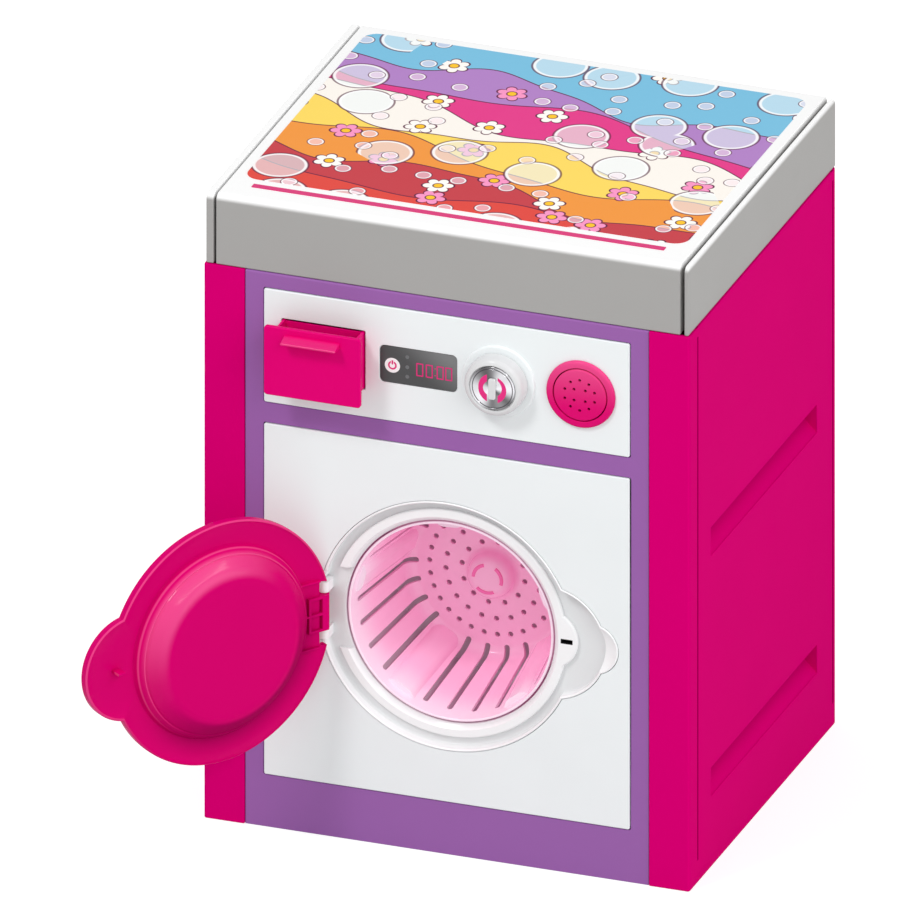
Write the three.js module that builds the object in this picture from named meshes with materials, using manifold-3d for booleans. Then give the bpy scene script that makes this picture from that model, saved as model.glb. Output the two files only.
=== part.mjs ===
// Toy washing machine: a case with a hinged porthole door, a turning drum and its geared
// drive, a detergent drawer, a programme knob and a sound button.
// Lengths are in millimetres and +Z is up. The origin is the middle of the base plate's
// underside and the front faces -Y. The door is drawn open, as it is left for loading.
import * as THREE from 'three';
import { mergeVertices } from 'three/addons/utils/BufferGeometryUtils.js';
import Module from 'manifold-3d';

const wasm = await Module();
wasm.setup();

// Gaps, overruns and the number of sides that round pieces get
const fitGap = 0.3;
const overrun = 1;
const largeSides = 48;
const tubSides = 36;
const mediumSides = 28;
const smallSides = 16;
const holeSides = 6;
const cornerSteps = 4;

// Case
const caseWidth = 300;
const caseDepth = 252;
const bodyHeight = 355;
const caseWall = 3;
const caseFrontRadius = 1.5;
const caseBackRadius = 6;
const frontStripWidth = 25;
const backStripWidth = 11;

// Side panels
const gripLength = 180;
const gripHeight = 18;
const gripDepth = 15;
const gripWall = 2.5;
const gripCentreDepth = 127;
const lowerGripHeight = 54.4;
const upperGripHeight = 208.3;
const grooveWidth = 2.2;
const grooveDepth = 1.2;
const frontGrooveDepth = 14.8;
const backGrooveInset = 7.5;
const grooveBottomMargin = 14;
const grooveTopMargin = 6;
const screwPostWidth = 21;
const backScrewInset = 15;
const screwPostDepth = 20;
const screwPostHeight = 12;
const lowScrewHeight = 30;
const topScrewMargin = 30;

// Front frame and the two fascias let into it
const frameInset = 0.8;
const frameTopBevel = 1.5;
const frameSideMargin = 11.3;
const frameTopMargin = 9.6;
const frameMidMargin = 12.8;
const frameBottomMargin = 33.4;
const frameTabOverlap = 9;
const frameTabInset = 9;
const controlHeight = 73.5;
const fasciaWall = 2.5;
const fasciaReturn = 2;
const fasciaFlange = 3;
const fasciaCorner = 1.2;
const fasciaGap = 0.5;

// Porthole: door seat, collar, latch lobe, finger scoop and hinge recess
const seatRadius = 77.8;
const seatWall = 1.5;
const seatProud = 0.5;
const seatFlange = 2.5;
const seatFloorDepth = 6.5;
const seatFloorWall = 2.5;
const collarTopDepth = 4;
const collarOuterRadius = 72.5;
const portholeRadius = 64.5;
const collarLobeOffset = 61.2;
const collarLobeRadius = 18.4;
const collarBreakHeight = 52;
const scoopOffset = 90;
const scoopRadius = 14.5;
const scoopDepth = 4.5;
const latchSlotLength = 7.4;
const latchSlotHeight = 3;
const latchSlotOffset = 72.7;
const latchClipWall = 1.6;
const latchClipHeight = 12;

// Door and hinge
const doorOpenAngle = 126;
const hingeOffset = 75;
const hingeProud = 1.5;
const hingePinRadius = 1.5;
const hingeClearance = 0.25;
const knuckleRadius = 3;
const knuckleHeight = 22.4;
const knuckleReach = 14;
const knuckleDepth = 5.2;
const knuckleRib = 1.6;
const lugHeight = 6.5;
const lugGap = 0.4;
const hingeRecessHeight = 38;
const hingeRecessReach = 5.4;
const doorRadius = 76.4;
const doorFaceDepth = 0.3;
const doorWall = 2;
const doorRimWall = 2.2;
const doorRimHeight = 2.7;
const doorLobeOffset = 62.5;
const doorLobeRadius = 33.2;
const doorNotchHeight = 41;
const doorNotchReach = 5.8;
const doorRibWall = 1.2;
const doorRibReach = 9;
const dishFootRadius = 60;
const dishStepRadius = 56.5;
const dishStepHeight = 6;
const dishFaceRadius = 44;
const dishHeight = 14.2;
const latchNubLength = 5;
const latchNubWidth = 2;
const latchNubHeight = 7.2;

// Drum
const drumFrontDepth = 7;
const drumFrontRadius = 61.9;
const drumBackRadius = 53.5;
const drumCornerRadius = 9;
const drumBackDepth = 79.5;
const drumWall = 1.6;
const drumHubRadius = 13.5;
const drumHubHeight = 10.5;
const drumHubRingRadius = 9.7;
const drumHubRingWidth = 1.6;
const drumHubRingHeight = 0.8;
const holeRingRadii = [19.6, 29.4, 39.5];
const holeRingCounts = [12, 20, 30];
const holeRingTurns = [21, 3.6, 9.6];
const drumHoleRadius = 1.55;
const slotWidth = 3.4;
const slotPlaces = 25;
const slotStartRadius = 46;
const slotEndDepth = 16;
const lifterPlaces = [0, 5, 10, 15, 20];
const firstSlotAngle = 237;
const lifterWidth = 20;
const lifterHeight = 3;
const lifterFrontDepth = 13;
const lifterRampLength = 11;

// Outer tub round the drum, shaft and bush
const tubClearance = 2.6;
const tubWall = 2;
const tubBackGap = 4.9;
const tubBackDepth = drumBackDepth + drumWall + tubBackGap;
const tubBossRadius = 11;
const tubBossInward = 3;
const tubBossOutward = 4.5;
const tubBossFrontDepth = tubBackDepth - tubBossInward;
const tubBossBackDepth = tubBackDepth + tubBossOutward;
const shaftRadius = 4;
const shaftHubInset = 8.5;
const shaftHubDepth = drumBackDepth - shaftHubInset;
const shaftEndReach = 1.5;
const bushRadius = 7;
const bushFlangeRadius = 9.5;
const bushFlangeWall = 1;
const runningGap = 0.25;

// Gear train behind the tub, all on one upright line
const toothSize = 1;
const tipShare = 0.9;
const drumGearTeeth = 48;
const idlerTeeth = 30;
const pinionTeeth = 12;
const gearBacklash = 0.8;
const gearSeatGap = 1.7;
const gearFrontDepth = tubBossBackDepth + gearSeatGap;
const gearWidth = 6;
const pressureAngle = 20;
const bracketGap = 1.8;
const bracketFrontDepth = gearFrontDepth + gearWidth + bracketGap;
const bracketWall = 2.5;
const shaftBackDepth = bracketFrontDepth + bracketWall + shaftEndReach;
const bracketWidth = 64;
const bracketMargin = 14;
const bracketPostRadius = 3.5;
const idlerPinRadius = 2;
const motorRadius = 12;
const motorLength = 31;
const motorNoseRadius = 4.9;
const motorNoseHeight = 2;
const motorShaftRadius = 1;
const motorShaftReach = 12;
const motorTerminalHeight = 4;

// Detergent drawer and its guide
const drawerPlaceShare = -0.336;
const drawerSlotWidth = 51.9;
const drawerSlotHeight = 37.7;
const drawerRunGap = 0.7;
const drawerPlateWidth = 59.7;
const drawerPlateHeight = 44;
const drawerPlateWall = 3;
const drawerPlateCorner = 2;
const drawerOut = 16.3;
const drawerTrayLength = 60;
const drawerWall = 1.6;
const drawerLipWidth = 34;
const drawerLipReach = 7.5;
const drawerLipWall = 2.4;
const drawerLipDrop = 4.2;
const guideWall = 1.6;
const guideFlange = 3;
const guideDepth = 72;

// Display label
const displayPlaceShare = -0.077;
const displayWidth = 47.4;
const displayHeight = 23.2;
const displayCorner = 3;
const displayRecess = 0.8;
const labelWall = 0.5;

// Programme knob and rotary switch
const knobPlaceShare = 0.1425;
const knobCollarRadius = 22.5;
const knobCollarHeight = 1.5;
const knobBaseRadius = 18.5;
const knobFrontRadius = 17.9;
const knobProud = 11.5;
const knobWall = 2;
const knobEdgeRadius = 2.4;
const knobDiscRadius = 13.3;
const knobDiscWall = 0.9;
const knobDiscInset = 0.3;
const knobBossWall = 2.2;
const pointerWidth = 4.3;
const pointerLength = 13.1;
const pointerHeight = 1.6;
const switchShaftRadius = 3;
const switchWidth = 17;
const switchHeight = 7;
const switchNoseRadius = 5;
const switchNoseHeight = 6;

// Sound button, its bezel, spring, tact switch and speaker
const soundPlaceShare = 0.3667;
const bezelRadius = 21.3;
const bezelInnerRadius = 16.9;
const bezelHeight = 2.4;
const bezelSleeveWall = 1.5;
const bezelSleeveDepth = 5;
const buttonRadius = 16.3;
const buttonProud = 2.8;
const buttonWall = 1.8;
const buttonSkirtWall = 1.4;
const buttonSkirtDepth = 9;
const buttonTravel = 2.5;
const grilleHoleRadius = 0.95;
const grilleOuterRadius = 9.65;
const grilleOuterCount = 10;
const grilleInnerRadius = 4.9;
const grilleInnerCount = 4;
const speakerRadius = 13.4;
const speakerHeight = 8;
const speakerMagnetRadius = 8;
const springWall = 0.8;
const tactWidth = 6;
const tactHeight = 4.3;
const tactPlungerRadius = 1.7;
const tactPlungerHeight = 1;

// Circuit board
const boardWidth = 148;
const boardHeight = 54;
const boardDepth = 22;
const boardWall = 1.6;
const boardPlaceShare = 0.14;
const boardPostRadius = 3;
const boardPostInset = 5;

// Base plate and back panel
const baseWall = 3;
const backWall = 3;

// Battery box with three AA cells
const cellRadius = 7.1;
const cellLength = 50.5;
const cellTipRadius = 2.7;
const cellTipLength = 1;
const cellCount = 3;
const cellPitch = 15.2;
const batteryTopMargin = 65;
const batteryWall = 1.6;
const contactWall = 0.5;
const batteryBossWidth = 9;
const coverWall = 2.4;

// Screws
const screwHeadRadius = 3.4;
const screwHeadHeight = 2;
const screwShankRadius = 1.5;
const screwLength = 12;

// Top of the case
const capHeight = 45;
const capInset = 1;
const capWall = 3;
const capEdgeRadius = 4.4;
const capEdgeSteps = 5;
const leftPlateWall = 4.6;
const leftSeam = 1.5;
const rightPlateWall = 2.6;
const rightSeam = 2.5;
const rightPlateDrop = 0.9;
const topLabelSideMargin = 7;
const topLabelBackMargin = 12;
const topLabelFrontMargin = 28;
const topLabelCorner = 9;
const topLabelWall = 0.3;
const stripeFrontMargin = 17;
const stripeWidth = 4.6;
const stripeSideMargin = 16;

// Values that follow from the sizes above
const sideX = caseWidth / 2;
const wallX = sideX - caseWall;
const frameHalf = sideX - frontStripWidth - fitGap;
const fasciaWidth = 2 * (frameHalf - frameSideMargin);
const frameBack = frameInset + caseWall;
const controlTop = bodyHeight - frameTopMargin;
const controlBottom = controlTop - controlHeight;
const controlMiddle = (controlTop + controlBottom) / 2;
const doorFasciaTop = controlBottom - frameMidMargin;
const doorFasciaHeight = doorFasciaTop - frameBottomMargin;
const portholeHeight = (doorFasciaTop + frameBottomMargin) / 2;
const fasciaFlangeFront = frameBack + fitGap;
const fasciaBack = fasciaFlangeFront + fasciaReturn;
const seatBack = seatFloorDepth + seatFloorWall;
const drawerX = drawerPlaceShare * fasciaWidth;
const displayX = displayPlaceShare * fasciaWidth;
const knobX = knobPlaceShare * fasciaWidth;
const soundX = soundPlaceShare * fasciaWidth;
const boardX = boardPlaceShare * fasciaWidth;
const boardBack = boardDepth + boardWall;
const backPanelBack = caseDepth - caseWall - fitGap;
const backPanelFront = backPanelBack - backWall;
const capTop = bodyHeight + capHeight;
const batteryHeight = bodyHeight - batteryTopMargin;

// Finishes
const pinkPlastic = { color: '#d9006c', roughness: 0.35, metalness: 0 };
const purplePlastic = { color: '#945fa6', roughness: 0.4, metalness: 0 };
const whitePlastic = { color: '#eceeef', roughness: 0.35, metalness: 0 };
const greyPlastic = { color: '#9aa0a0', roughness: 0.5, metalness: 0 };
const blackPlastic = { color: '#242426', roughness: 0.5, metalness: 0 };
const drumPlastic = { color: '#f27db4', roughness: 0.2, metalness: 0 };
const gearPlastic = { color: '#f1efe6', roughness: 0.4, metalness: 0 };
const chrome = { color: '#c9cbd0', roughness: 0.15, metalness: 1 };
const steel = { color: '#b4b6ba', roughness: 0.35, metalness: 1 };
const brass = { color: '#c8a04a', roughness: 0.35, metalness: 1 };
const boardGreen = { color: '#1f6b3a', roughness: 0.5, metalness: 0 };
const printedLabel = { color: '#e0569c', roughness: 0.4, metalness: 0 };
const displayPrint = { color: '#5c5f60', roughness: 0.25, metalness: 0 };
const cellSleeve = { color: '#3d6ea8', roughness: 0.35, metalness: 0 };

/** Signed volume of an indexed geometry, negative where its faces point in. */
function signedVolume(positions, indices) {
  const corner = (index) => new THREE.Vector3().fromArray(positions, 3 * index);
  let sum = 0;
  for (let i = 0; i < indices.length; i += 3) {
    const [a, b, c] = [corner(indices[i]), corner(indices[i + 1]), corner(indices[i + 2])];
    sum += a.dot(b.cross(c));
  }
  return sum / 6;
}

/** Makes a solid of a closed geometry: merges its vertices and points its faces out. */
function solidOf(geometry) {
  const bare = geometry.clone();
  bare.deleteAttribute('normal');
  bare.deleteAttribute('uv');
  const merged = mergeVertices(bare);
  const positions = merged.attributes.position.array;
  const indices = [];
  for (let i = 0; i < merged.index.count; i += 3) {
    const [a, b, c] = [0, 1, 2].map((step) => merged.index.getX(i + step));
    if (a !== b && b !== c && c !== a) {
      indices.push(a, b, c);
    }
  }
  if (signedVolume(positions, indices) < 0) {
    indices.reverse();
  }
  const mesh = new wasm.Mesh({
    numProp: 3,
    vertProperties: new Float32Array(positions),
    triVerts: new Uint32Array(indices),
  });
  return new wasm.Manifold(mesh);
}

/** Turns a solid back into a three.js geometry. */
function geometryOf(solid) {
  const mesh = solid.getMesh();
  const geometry = new THREE.BufferGeometry();
  geometry.setAttribute('position', new THREE.BufferAttribute(mesh.vertProperties, 3));
  geometry.setIndex(new THREE.BufferAttribute(mesh.triVerts, 1));
  geometry.computeVertexNormals();
  return geometry;
}

/** Joins solids into one. */
function join(...solids) {
  return solids.reduce((whole, piece) => whole.add(piece));
}

/** Cuts tools away from a solid. */
function cut(base, ...tools) {
  return tools.reduce((whole, tool) => whole.subtract(tool), base);
}

/** The same solid reflected in the plane X = 0. */
function mirrored(solid) {
  return solidOf(geometryOf(solid).scale(-1, 1, 1));
}

/** A box from its lowest to its highest corner. */
function block([x0, y0, z0], [x1, y1, z1]) {
  const geometry = new THREE.BoxGeometry(x1 - x0, y1 - y0, z1 - z0);
  geometry.translate((x0 + x1) / 2, (y0 + y1) / 2, (z0 + z1) / 2);
  return solidOf(geometry);
}

/** A round bar along Y from one depth to another. */
function rod(radius, near, far, sides = smallSides, x = 0, z = 0) {
  const geometry = new THREE.CylinderGeometry(radius, radius, far - near, sides);
  geometry.translate(x, (near + far) / 2, z);
  return solidOf(geometry);
}

/** A round bar along Z. */
function post(radius, bottom, top, sides = smallSides, x = 0, y = 0) {
  const geometry = new THREE.CylinderGeometry(radius, radius, top - bottom, sides);
  geometry.rotateX(Math.PI / 2);
  geometry.translate(x, y, (bottom + top) / 2);
  return solidOf(geometry);
}

/** A flat ring round the Y axis. */
function ring(outer, inner, near, far, sides = largeSides) {
  return cut(rod(outer, near, far, sides), rod(inner, near - overrun, far + overrun, sides));
}

/** Turns an outline of [radius, depth] points round the Y axis. */
function turned(outline, sides = largeSides) {
  const points = outline.map(([radius, depth]) => new THREE.Vector2(radius, depth));
  return solidOf(new THREE.LatheGeometry(points, sides));
}

/** A flat shape, drawn in X and Z, made solid from one depth to another. */
function plate(shape, near, far) {
  const settings = { depth: far - near, bevelEnabled: false, curveSegments: cornerSteps };
  const geometry = new THREE.ExtrudeGeometry(shape, settings);
  geometry.rotateX(Math.PI / 2);
  geometry.translate(0, far, 0);
  return solidOf(geometry);
}

/** A flat shape, drawn in X and Y, made solid from one height to another. */
function upright(shape, bottom, top) {
  const settings = { depth: top - bottom, bevelEnabled: false, curveSegments: cornerSteps };
  const geometry = new THREE.ExtrudeGeometry(shape, settings);
  geometry.translate(0, 0, bottom);
  return solidOf(geometry);
}

/** A flat shape, drawn in Y and Z, made solid from one X to another. */
function crosswise(shape, left, right) {
  const settings = { depth: right - left, bevelEnabled: false, curveSegments: cornerSteps };
  const geometry = new THREE.ExtrudeGeometry(shape, settings);
  const turn = new THREE.Matrix4().makeBasis(
    new THREE.Vector3(0, 1, 0),
    new THREE.Vector3(0, 0, 1),
    new THREE.Vector3(1, 0, 0),
  );
  geometry.applyMatrix4(turn);
  geometry.translate(left, 0, 0);
  return solidOf(geometry);
}

/** A rectangle with round corners about a centre. */
function roundedRect(width, height, radius, x = 0, z = 0) {
  const [left, right] = [x - width / 2, x + width / 2];
  const [low, high] = [z - height / 2, z + height / 2];
  const shape = new THREE.Shape();
  shape.moveTo(left + radius, low);
  shape.absarc(right - radius, low + radius, radius, -Math.PI / 2, 0);
  shape.absarc(right - radius, high - radius, radius, 0, Math.PI / 2);
  shape.absarc(left + radius, high - radius, radius, Math.PI / 2, Math.PI);
  shape.absarc(left + radius, low + radius, radius, Math.PI, 1.5 * Math.PI);
  return shape;
}

/** A polygon from a list of [across, up] points. */
function polygon(points) {
  return new THREE.Shape(points.map(([across, up]) => new THREE.Vector2(across, up)));
}

/** A named mesh of a solid with its own material. */
function piece(name, solid, finish) {
  const mesh = new THREE.Mesh(geometryOf(solid), new THREE.MeshStandardMaterial(finish));
  mesh.name = name;
  return mesh;
}

/** A group at a place, holding pieces drawn about that place. */
function placed(x, y, z, ...children) {
  const holder = new THREE.Group();
  holder.position.set(x, y, z);
  holder.add(...children);
  return holder;
}

/** Places round a circle: the X and Z of each of a number of points. */
function roundPlaces(count, radius, firstAngle = 0) {
  return Array.from({ length: count }, (_, index) => {
    const angle = firstAngle + (index * 2 * Math.PI) / count;
    return [radius * Math.cos(angle), radius * Math.sin(angle)];
  });
}

/** The right side panel: a channel with two grip pockets, two grooves and screw posts. */
function rightSidePanel() {
  const section = new THREE.Shape();
  section.moveTo(sideX - frontStripWidth, 0);
  section.absarc(sideX - caseFrontRadius, caseFrontRadius, caseFrontRadius, -Math.PI / 2, 0);
  section.absarc(sideX - caseBackRadius, caseDepth - caseBackRadius, caseBackRadius, 0, Math.PI / 2);
  section.lineTo(sideX - backStripWidth, caseDepth);
  section.lineTo(sideX - backStripWidth, caseDepth - caseWall);
  section.lineTo(wallX, caseDepth - caseWall);
  section.lineTo(wallX, caseWall);
  section.lineTo(sideX - frontStripWidth, caseWall);
  let panel = upright(section, 0, bodyHeight);
  const gripFront = gripCentreDepth - gripLength / 2;
  const gripBack = gripCentreDepth + gripLength / 2;
  for (const height of [lowerGripHeight, upperGripHeight]) {
    const low = height - gripHeight / 2;
    const high = height + gripHeight / 2;
    const pocket = block(
      [sideX - gripDepth - gripWall, gripFront - gripWall, low - gripWall],
      [wallX + overrun, gripBack + gripWall, high + gripWall],
    );
    const hollow = block([sideX - gripDepth, gripFront, low], [sideX + overrun, gripBack, high]);
    panel = cut(join(panel, pocket), hollow);
  }
  for (const middle of [frontGrooveDepth, caseDepth - backGrooveInset]) {
    const groove = block(
      [sideX - grooveDepth, middle - grooveWidth / 2, grooveBottomMargin],
      [sideX + overrun, middle + grooveWidth / 2, bodyHeight - grooveTopMargin],
    );
    panel = cut(panel, groove);
  }
  const postBack = backPanelFront - fitGap;
  for (const height of [lowScrewHeight, bodyHeight - topScrewMargin]) {
    const screwPost = block(
      [wallX - screwPostWidth, postBack - screwPostDepth, height - screwPostHeight / 2],
      [wallX + overrun, postBack, height + screwPostHeight / 2],
    );
    const shankHole = rod(
      screwShankRadius + fitGap,
      postBack - screwLength,
      postBack + overrun,
      smallSides,
      backScrewX(),
      height,
    );
    panel = cut(join(panel, screwPost), shankHole);
  }
  return panel;
}

/** X of the back panel's screws on the right. */
function backScrewX() {
  return wallX - backScrewInset;
}

/** The frame round the two fascias, with tabs that lie behind the pink front strips. */
function frontFrame() {
  const outline = polygon([
    [-frameHalf, 0],
    [frameHalf, 0],
    [frameHalf, bodyHeight],
    [-frameHalf, bodyHeight],
  ]);
  let frame = plate(outline, frameInset, frameBack);
  const tabFront = caseWall + fitGap;
  for (const side of [-1, 1]) {
    const inner = side * (frameHalf - frameTabInset);
    const outer = side * (frameHalf + frameTabOverlap);
    const tab = block(
      [Math.min(inner, outer), tabFront, 0],
      [Math.max(inner, outer), tabFront + caseWall, bodyHeight],
    );
    frame = join(frame, tab);
  }
  const bevel = crosswise(
    polygon([
      [frameInset - overrun, bodyHeight - frameTopBevel - overrun],
      [frameInset + frameTopBevel + overrun, bodyHeight + overrun],
      [frameInset - overrun, bodyHeight + overrun],
    ]),
    -frameHalf - overrun,
    frameHalf + overrun,
  );
  const controlHole = roundedRect(fasciaWidth, controlHeight, fasciaCorner, 0, controlMiddle);
  const doorHole = roundedRect(fasciaWidth, doorFasciaHeight, fasciaCorner, 0, portholeHeight);
  const near = frameInset - overrun;
  const far = tabFront + caseWall + overrun;
  return cut(frame, bevel, plate(controlHole, near, far), plate(doorHole, near, far));
}

/** A fascia's shell: its face, the return through the frame and the flange behind it. */
function fasciaShell(height, middle) {
  const width = fasciaWidth - 2 * fasciaGap;
  const tall = height - 2 * fasciaGap;
  const inner = 2 * fasciaReturn;
  const tabSide = frameTabInset - frameSideMargin;
  const flange = 2 * Math.min(fasciaFlange, fasciaFlange + tabSide);
  const face = roundedRect(width, tall, fasciaCorner, 0, middle);
  const hollow = roundedRect(width - inner, tall - inner, fasciaCorner, 0, middle);
  const rim = roundedRect(width + flange, tall + flange, fasciaCorner, 0, middle);
  const shell = join(plate(face, 0, fasciaBack), plate(rim, fasciaFlangeFront, fasciaBack));
  return cut(shell, plate(hollow, fasciaWall, fasciaBack + overrun));
}

/** Centres of the posts that carry the circuit board. */
function boardPostPlaces() {
  const across = boardWidth / 2 - boardPostInset;
  const up = boardHeight / 2 - boardPostInset;
  return [-1, 1].flatMap((side) => [-1, 1].map((end) => [
    boardX + side * across,
    controlMiddle + end * up,
  ]));
}

/** The control fascia with the openings for drawer, display, knob and sound button. */
function controlFascia() {
  let fascia = fasciaShell(controlHeight, controlMiddle);
  const collar = rod(knobCollarRadius, -knobCollarHeight, overrun, largeSides, knobX, controlMiddle);
  fascia = join(fascia, collar);
  for (const [x, z] of boardPostPlaces()) {
    fascia = join(fascia, rod(boardPostRadius, overrun, boardDepth - fitGap, smallSides, x, z));
  }
  const slot = roundedRect(drawerSlotWidth, drawerSlotHeight, fitGap, drawerX, controlMiddle);
  const recess = roundedRect(
    displayWidth + 2 * fitGap,
    displayHeight + 2 * fitGap,
    displayCorner,
    displayX,
    controlMiddle,
  );
  const near = -knobCollarHeight - overrun;
  const far = fasciaWall + overrun;
  const sleeveHole = bezelInnerRadius + bezelSleeveWall + fitGap;
  return cut(
    fascia,
    plate(slot, near, far),
    plate(recess, near, displayRecess),
    rod(switchNoseRadius + fitGap, near, far, smallSides, knobX, controlMiddle),
    rod(sleeveHole, near, far, largeSides, soundX, controlMiddle),
  );
}

/** The porthole's outline as a solid: seat, latch lobe, finger scoop and hinge recess. */
function seatPrism(grow, near, far) {
  const hingeX = -hingeOffset - hingeRecessReach - grow;
  const half = hingeRecessHeight / 2 + grow;
  const lobeClearance = seatRadius - doorRadius;
  return join(
    rod(seatRadius + grow, near, far, largeSides),
    rod(doorLobeRadius + lobeClearance + grow, near, far, mediumSides, doorLobeOffset),
    rod(scoopRadius + grow, near, far, mediumSides, scoopOffset),
    block([hingeX, near, -half], [-portholeRadius, far, half]),
  );
}

/** The door fascia with its lobed cut-out for the porthole ring. */
function doorFascia() {
  const shell = fasciaShell(doorFasciaHeight, portholeHeight);
  const opening = geometryOf(seatPrism(seatWall + fitGap, -overrun, fasciaWall + overrun));
  opening.translate(0, 0, portholeHeight);
  return cut(shell, solidOf(opening));
}

/** The finger scoop: a shallow dish beyond the latch lobe. */
function scoopDish(grow) {
  const sphereRadius = (scoopRadius ** 2 + scoopDepth ** 2) / (2 * scoopDepth);
  const geometry = new THREE.SphereGeometry(sphereRadius + grow, mediumSides, smallSides);
  geometry.translate(scoopOffset, scoopDepth - sphereRadius, 0);
  return solidOf(geometry);
}

/** The ring that carries the door: seat, collar with latch slot, scoop and hinge lugs. */
function portholeRing() {
  const flangeFront = fasciaWall + fitGap;
  const body = join(
    seatPrism(seatWall, -seatProud, seatBack),
    seatPrism(seatWall + seatFlange, flangeFront, flangeFront + seatFloorWall),
  );
  const lobeClearance = seatRadius - doorRadius;
  const half = hingeRecessHeight / 2;
  const seat = join(
    rod(seatRadius, -seatProud - overrun, seatFloorDepth, largeSides),
    rod(
      doorLobeRadius + lobeClearance,
      -seatProud - overrun,
      seatFloorDepth,
      mediumSides,
      doorLobeOffset,
    ),
    block(
      [-hingeOffset - hingeRecessReach, -seatProud - overrun, -half],
      [-portholeRadius, seatFloorDepth, half],
    ),
    scoopDish(0),
  );
  const collar = cut(
    join(
      rod(collarOuterRadius, collarTopDepth, seatBack, largeSides),
      rod(collarLobeRadius, collarTopDepth, seatBack, mediumSides, collarLobeOffset),
    ),
    block(
      [-collarOuterRadius - overrun, collarTopDepth - overrun, -collarBreakHeight / 2],
      [0, seatFloorDepth, collarBreakHeight / 2],
    ),
  );
  const lugs = [-1, 1].map((side) => hingeLug(side));
  const slot = block(
    [latchSlotOffset - latchSlotLength / 2, collarTopDepth - overrun, -latchSlotHeight / 2],
    [latchSlotOffset + latchSlotLength / 2, seatBack + overrun, latchSlotHeight / 2],
  );
  const backHollow = cut(
    join(
      rod(seatRadius, seatFloorDepth, seatBack + overrun, largeSides),
      rod(doorLobeRadius, seatFloorDepth, seatBack + overrun, mediumSides, doorLobeOffset),
    ),
    rod(seatRadius + doorLobeRadius, seatFloorDepth - overrun, seatBack, largeSides),
  );
  const throat = rod(portholeRadius, -overrun, seatBack + overrun, largeSides);
  const pinBore = post(
    hingePinRadius + hingeClearance,
    -hingePinReach() - overrun,
    hingePinReach() + overrun,
    smallSides,
    -hingeOffset,
    -hingeProud,
  );
  return cut(join(cut(body, seat), collar, ...lugs), slot, backHollow, throat, pinBore);
}

/** Half the length of the hinge pin, from its middle to the outer face of a lug. */
function hingePinReach() {
  return knuckleHeight / 2 + lugGap + lugHeight;
}

/** One lug of the hinge, standing on the seat's floor above or below the knuckle. */
function hingeLug(side) {
  const near = side * (knuckleHeight / 2 + lugGap);
  const far = side * hingePinReach();
  const [bottom, top] = [Math.min(near, far), Math.max(near, far)];
  return join(
    post(knuckleRadius, bottom, top, smallSides, -hingeOffset, -hingeProud),
    block(
      [-hingeOffset - knuckleRadius, -hingeProud, bottom],
      [-hingeOffset + knuckleRadius, seatFloorDepth + overrun, top],
    ),
  );
}

/** The clip behind the latch slot that the door's nub snaps into. */
function latchClip() {
  const near = seatBack + fitGap;
  const left = latchSlotOffset - latchSlotLength / 2 - latchClipWall;
  const right = latchSlotOffset + latchSlotLength / 2 + latchClipWall;
  const half = latchClipHeight / 2;
  return cut(
    block([left, near, -half], [right, near + latchClipWall, half]),
    block(
      [left + latchClipWall, near - overrun, -latchSlotHeight / 2],
      [right - latchClipWall, near + latchClipWall + overrun, latchSlotHeight / 2],
    ),
  );
}

/** The door's outline as a solid about the hinge axis: a disc with the handle lobe. */
function doorPrism(grow, near, far) {
  return join(
    rod(doorRadius + grow, near, far, largeSides, hingeOffset),
    rod(doorLobeRadius + grow, near, far, mediumSides, hingeOffset + doorLobeOffset),
  );
}

/** The dish's outline as a solid round the door's middle. */
function dishTurned(shrink, base) {
  const foot = doorFaceDepth + doorWall;
  const face = foot + dishHeight - shrink;
  const step = foot + dishStepHeight - shrink;
  const geometry = geometryOf(turned([
    [0, base],
    [dishFootRadius - shrink, base],
    [dishFootRadius - shrink, Math.max(base, foot - shrink)],
    [dishStepRadius - shrink, step],
    [(dishStepRadius + dishFaceRadius) / 2 - shrink, (step + 2 * face) / 3],
    [dishFaceRadius - shrink, face],
    [0, face],
  ]));
  geometry.translate(hingeOffset, 0, 0);
  return solidOf(geometry);
}

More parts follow.
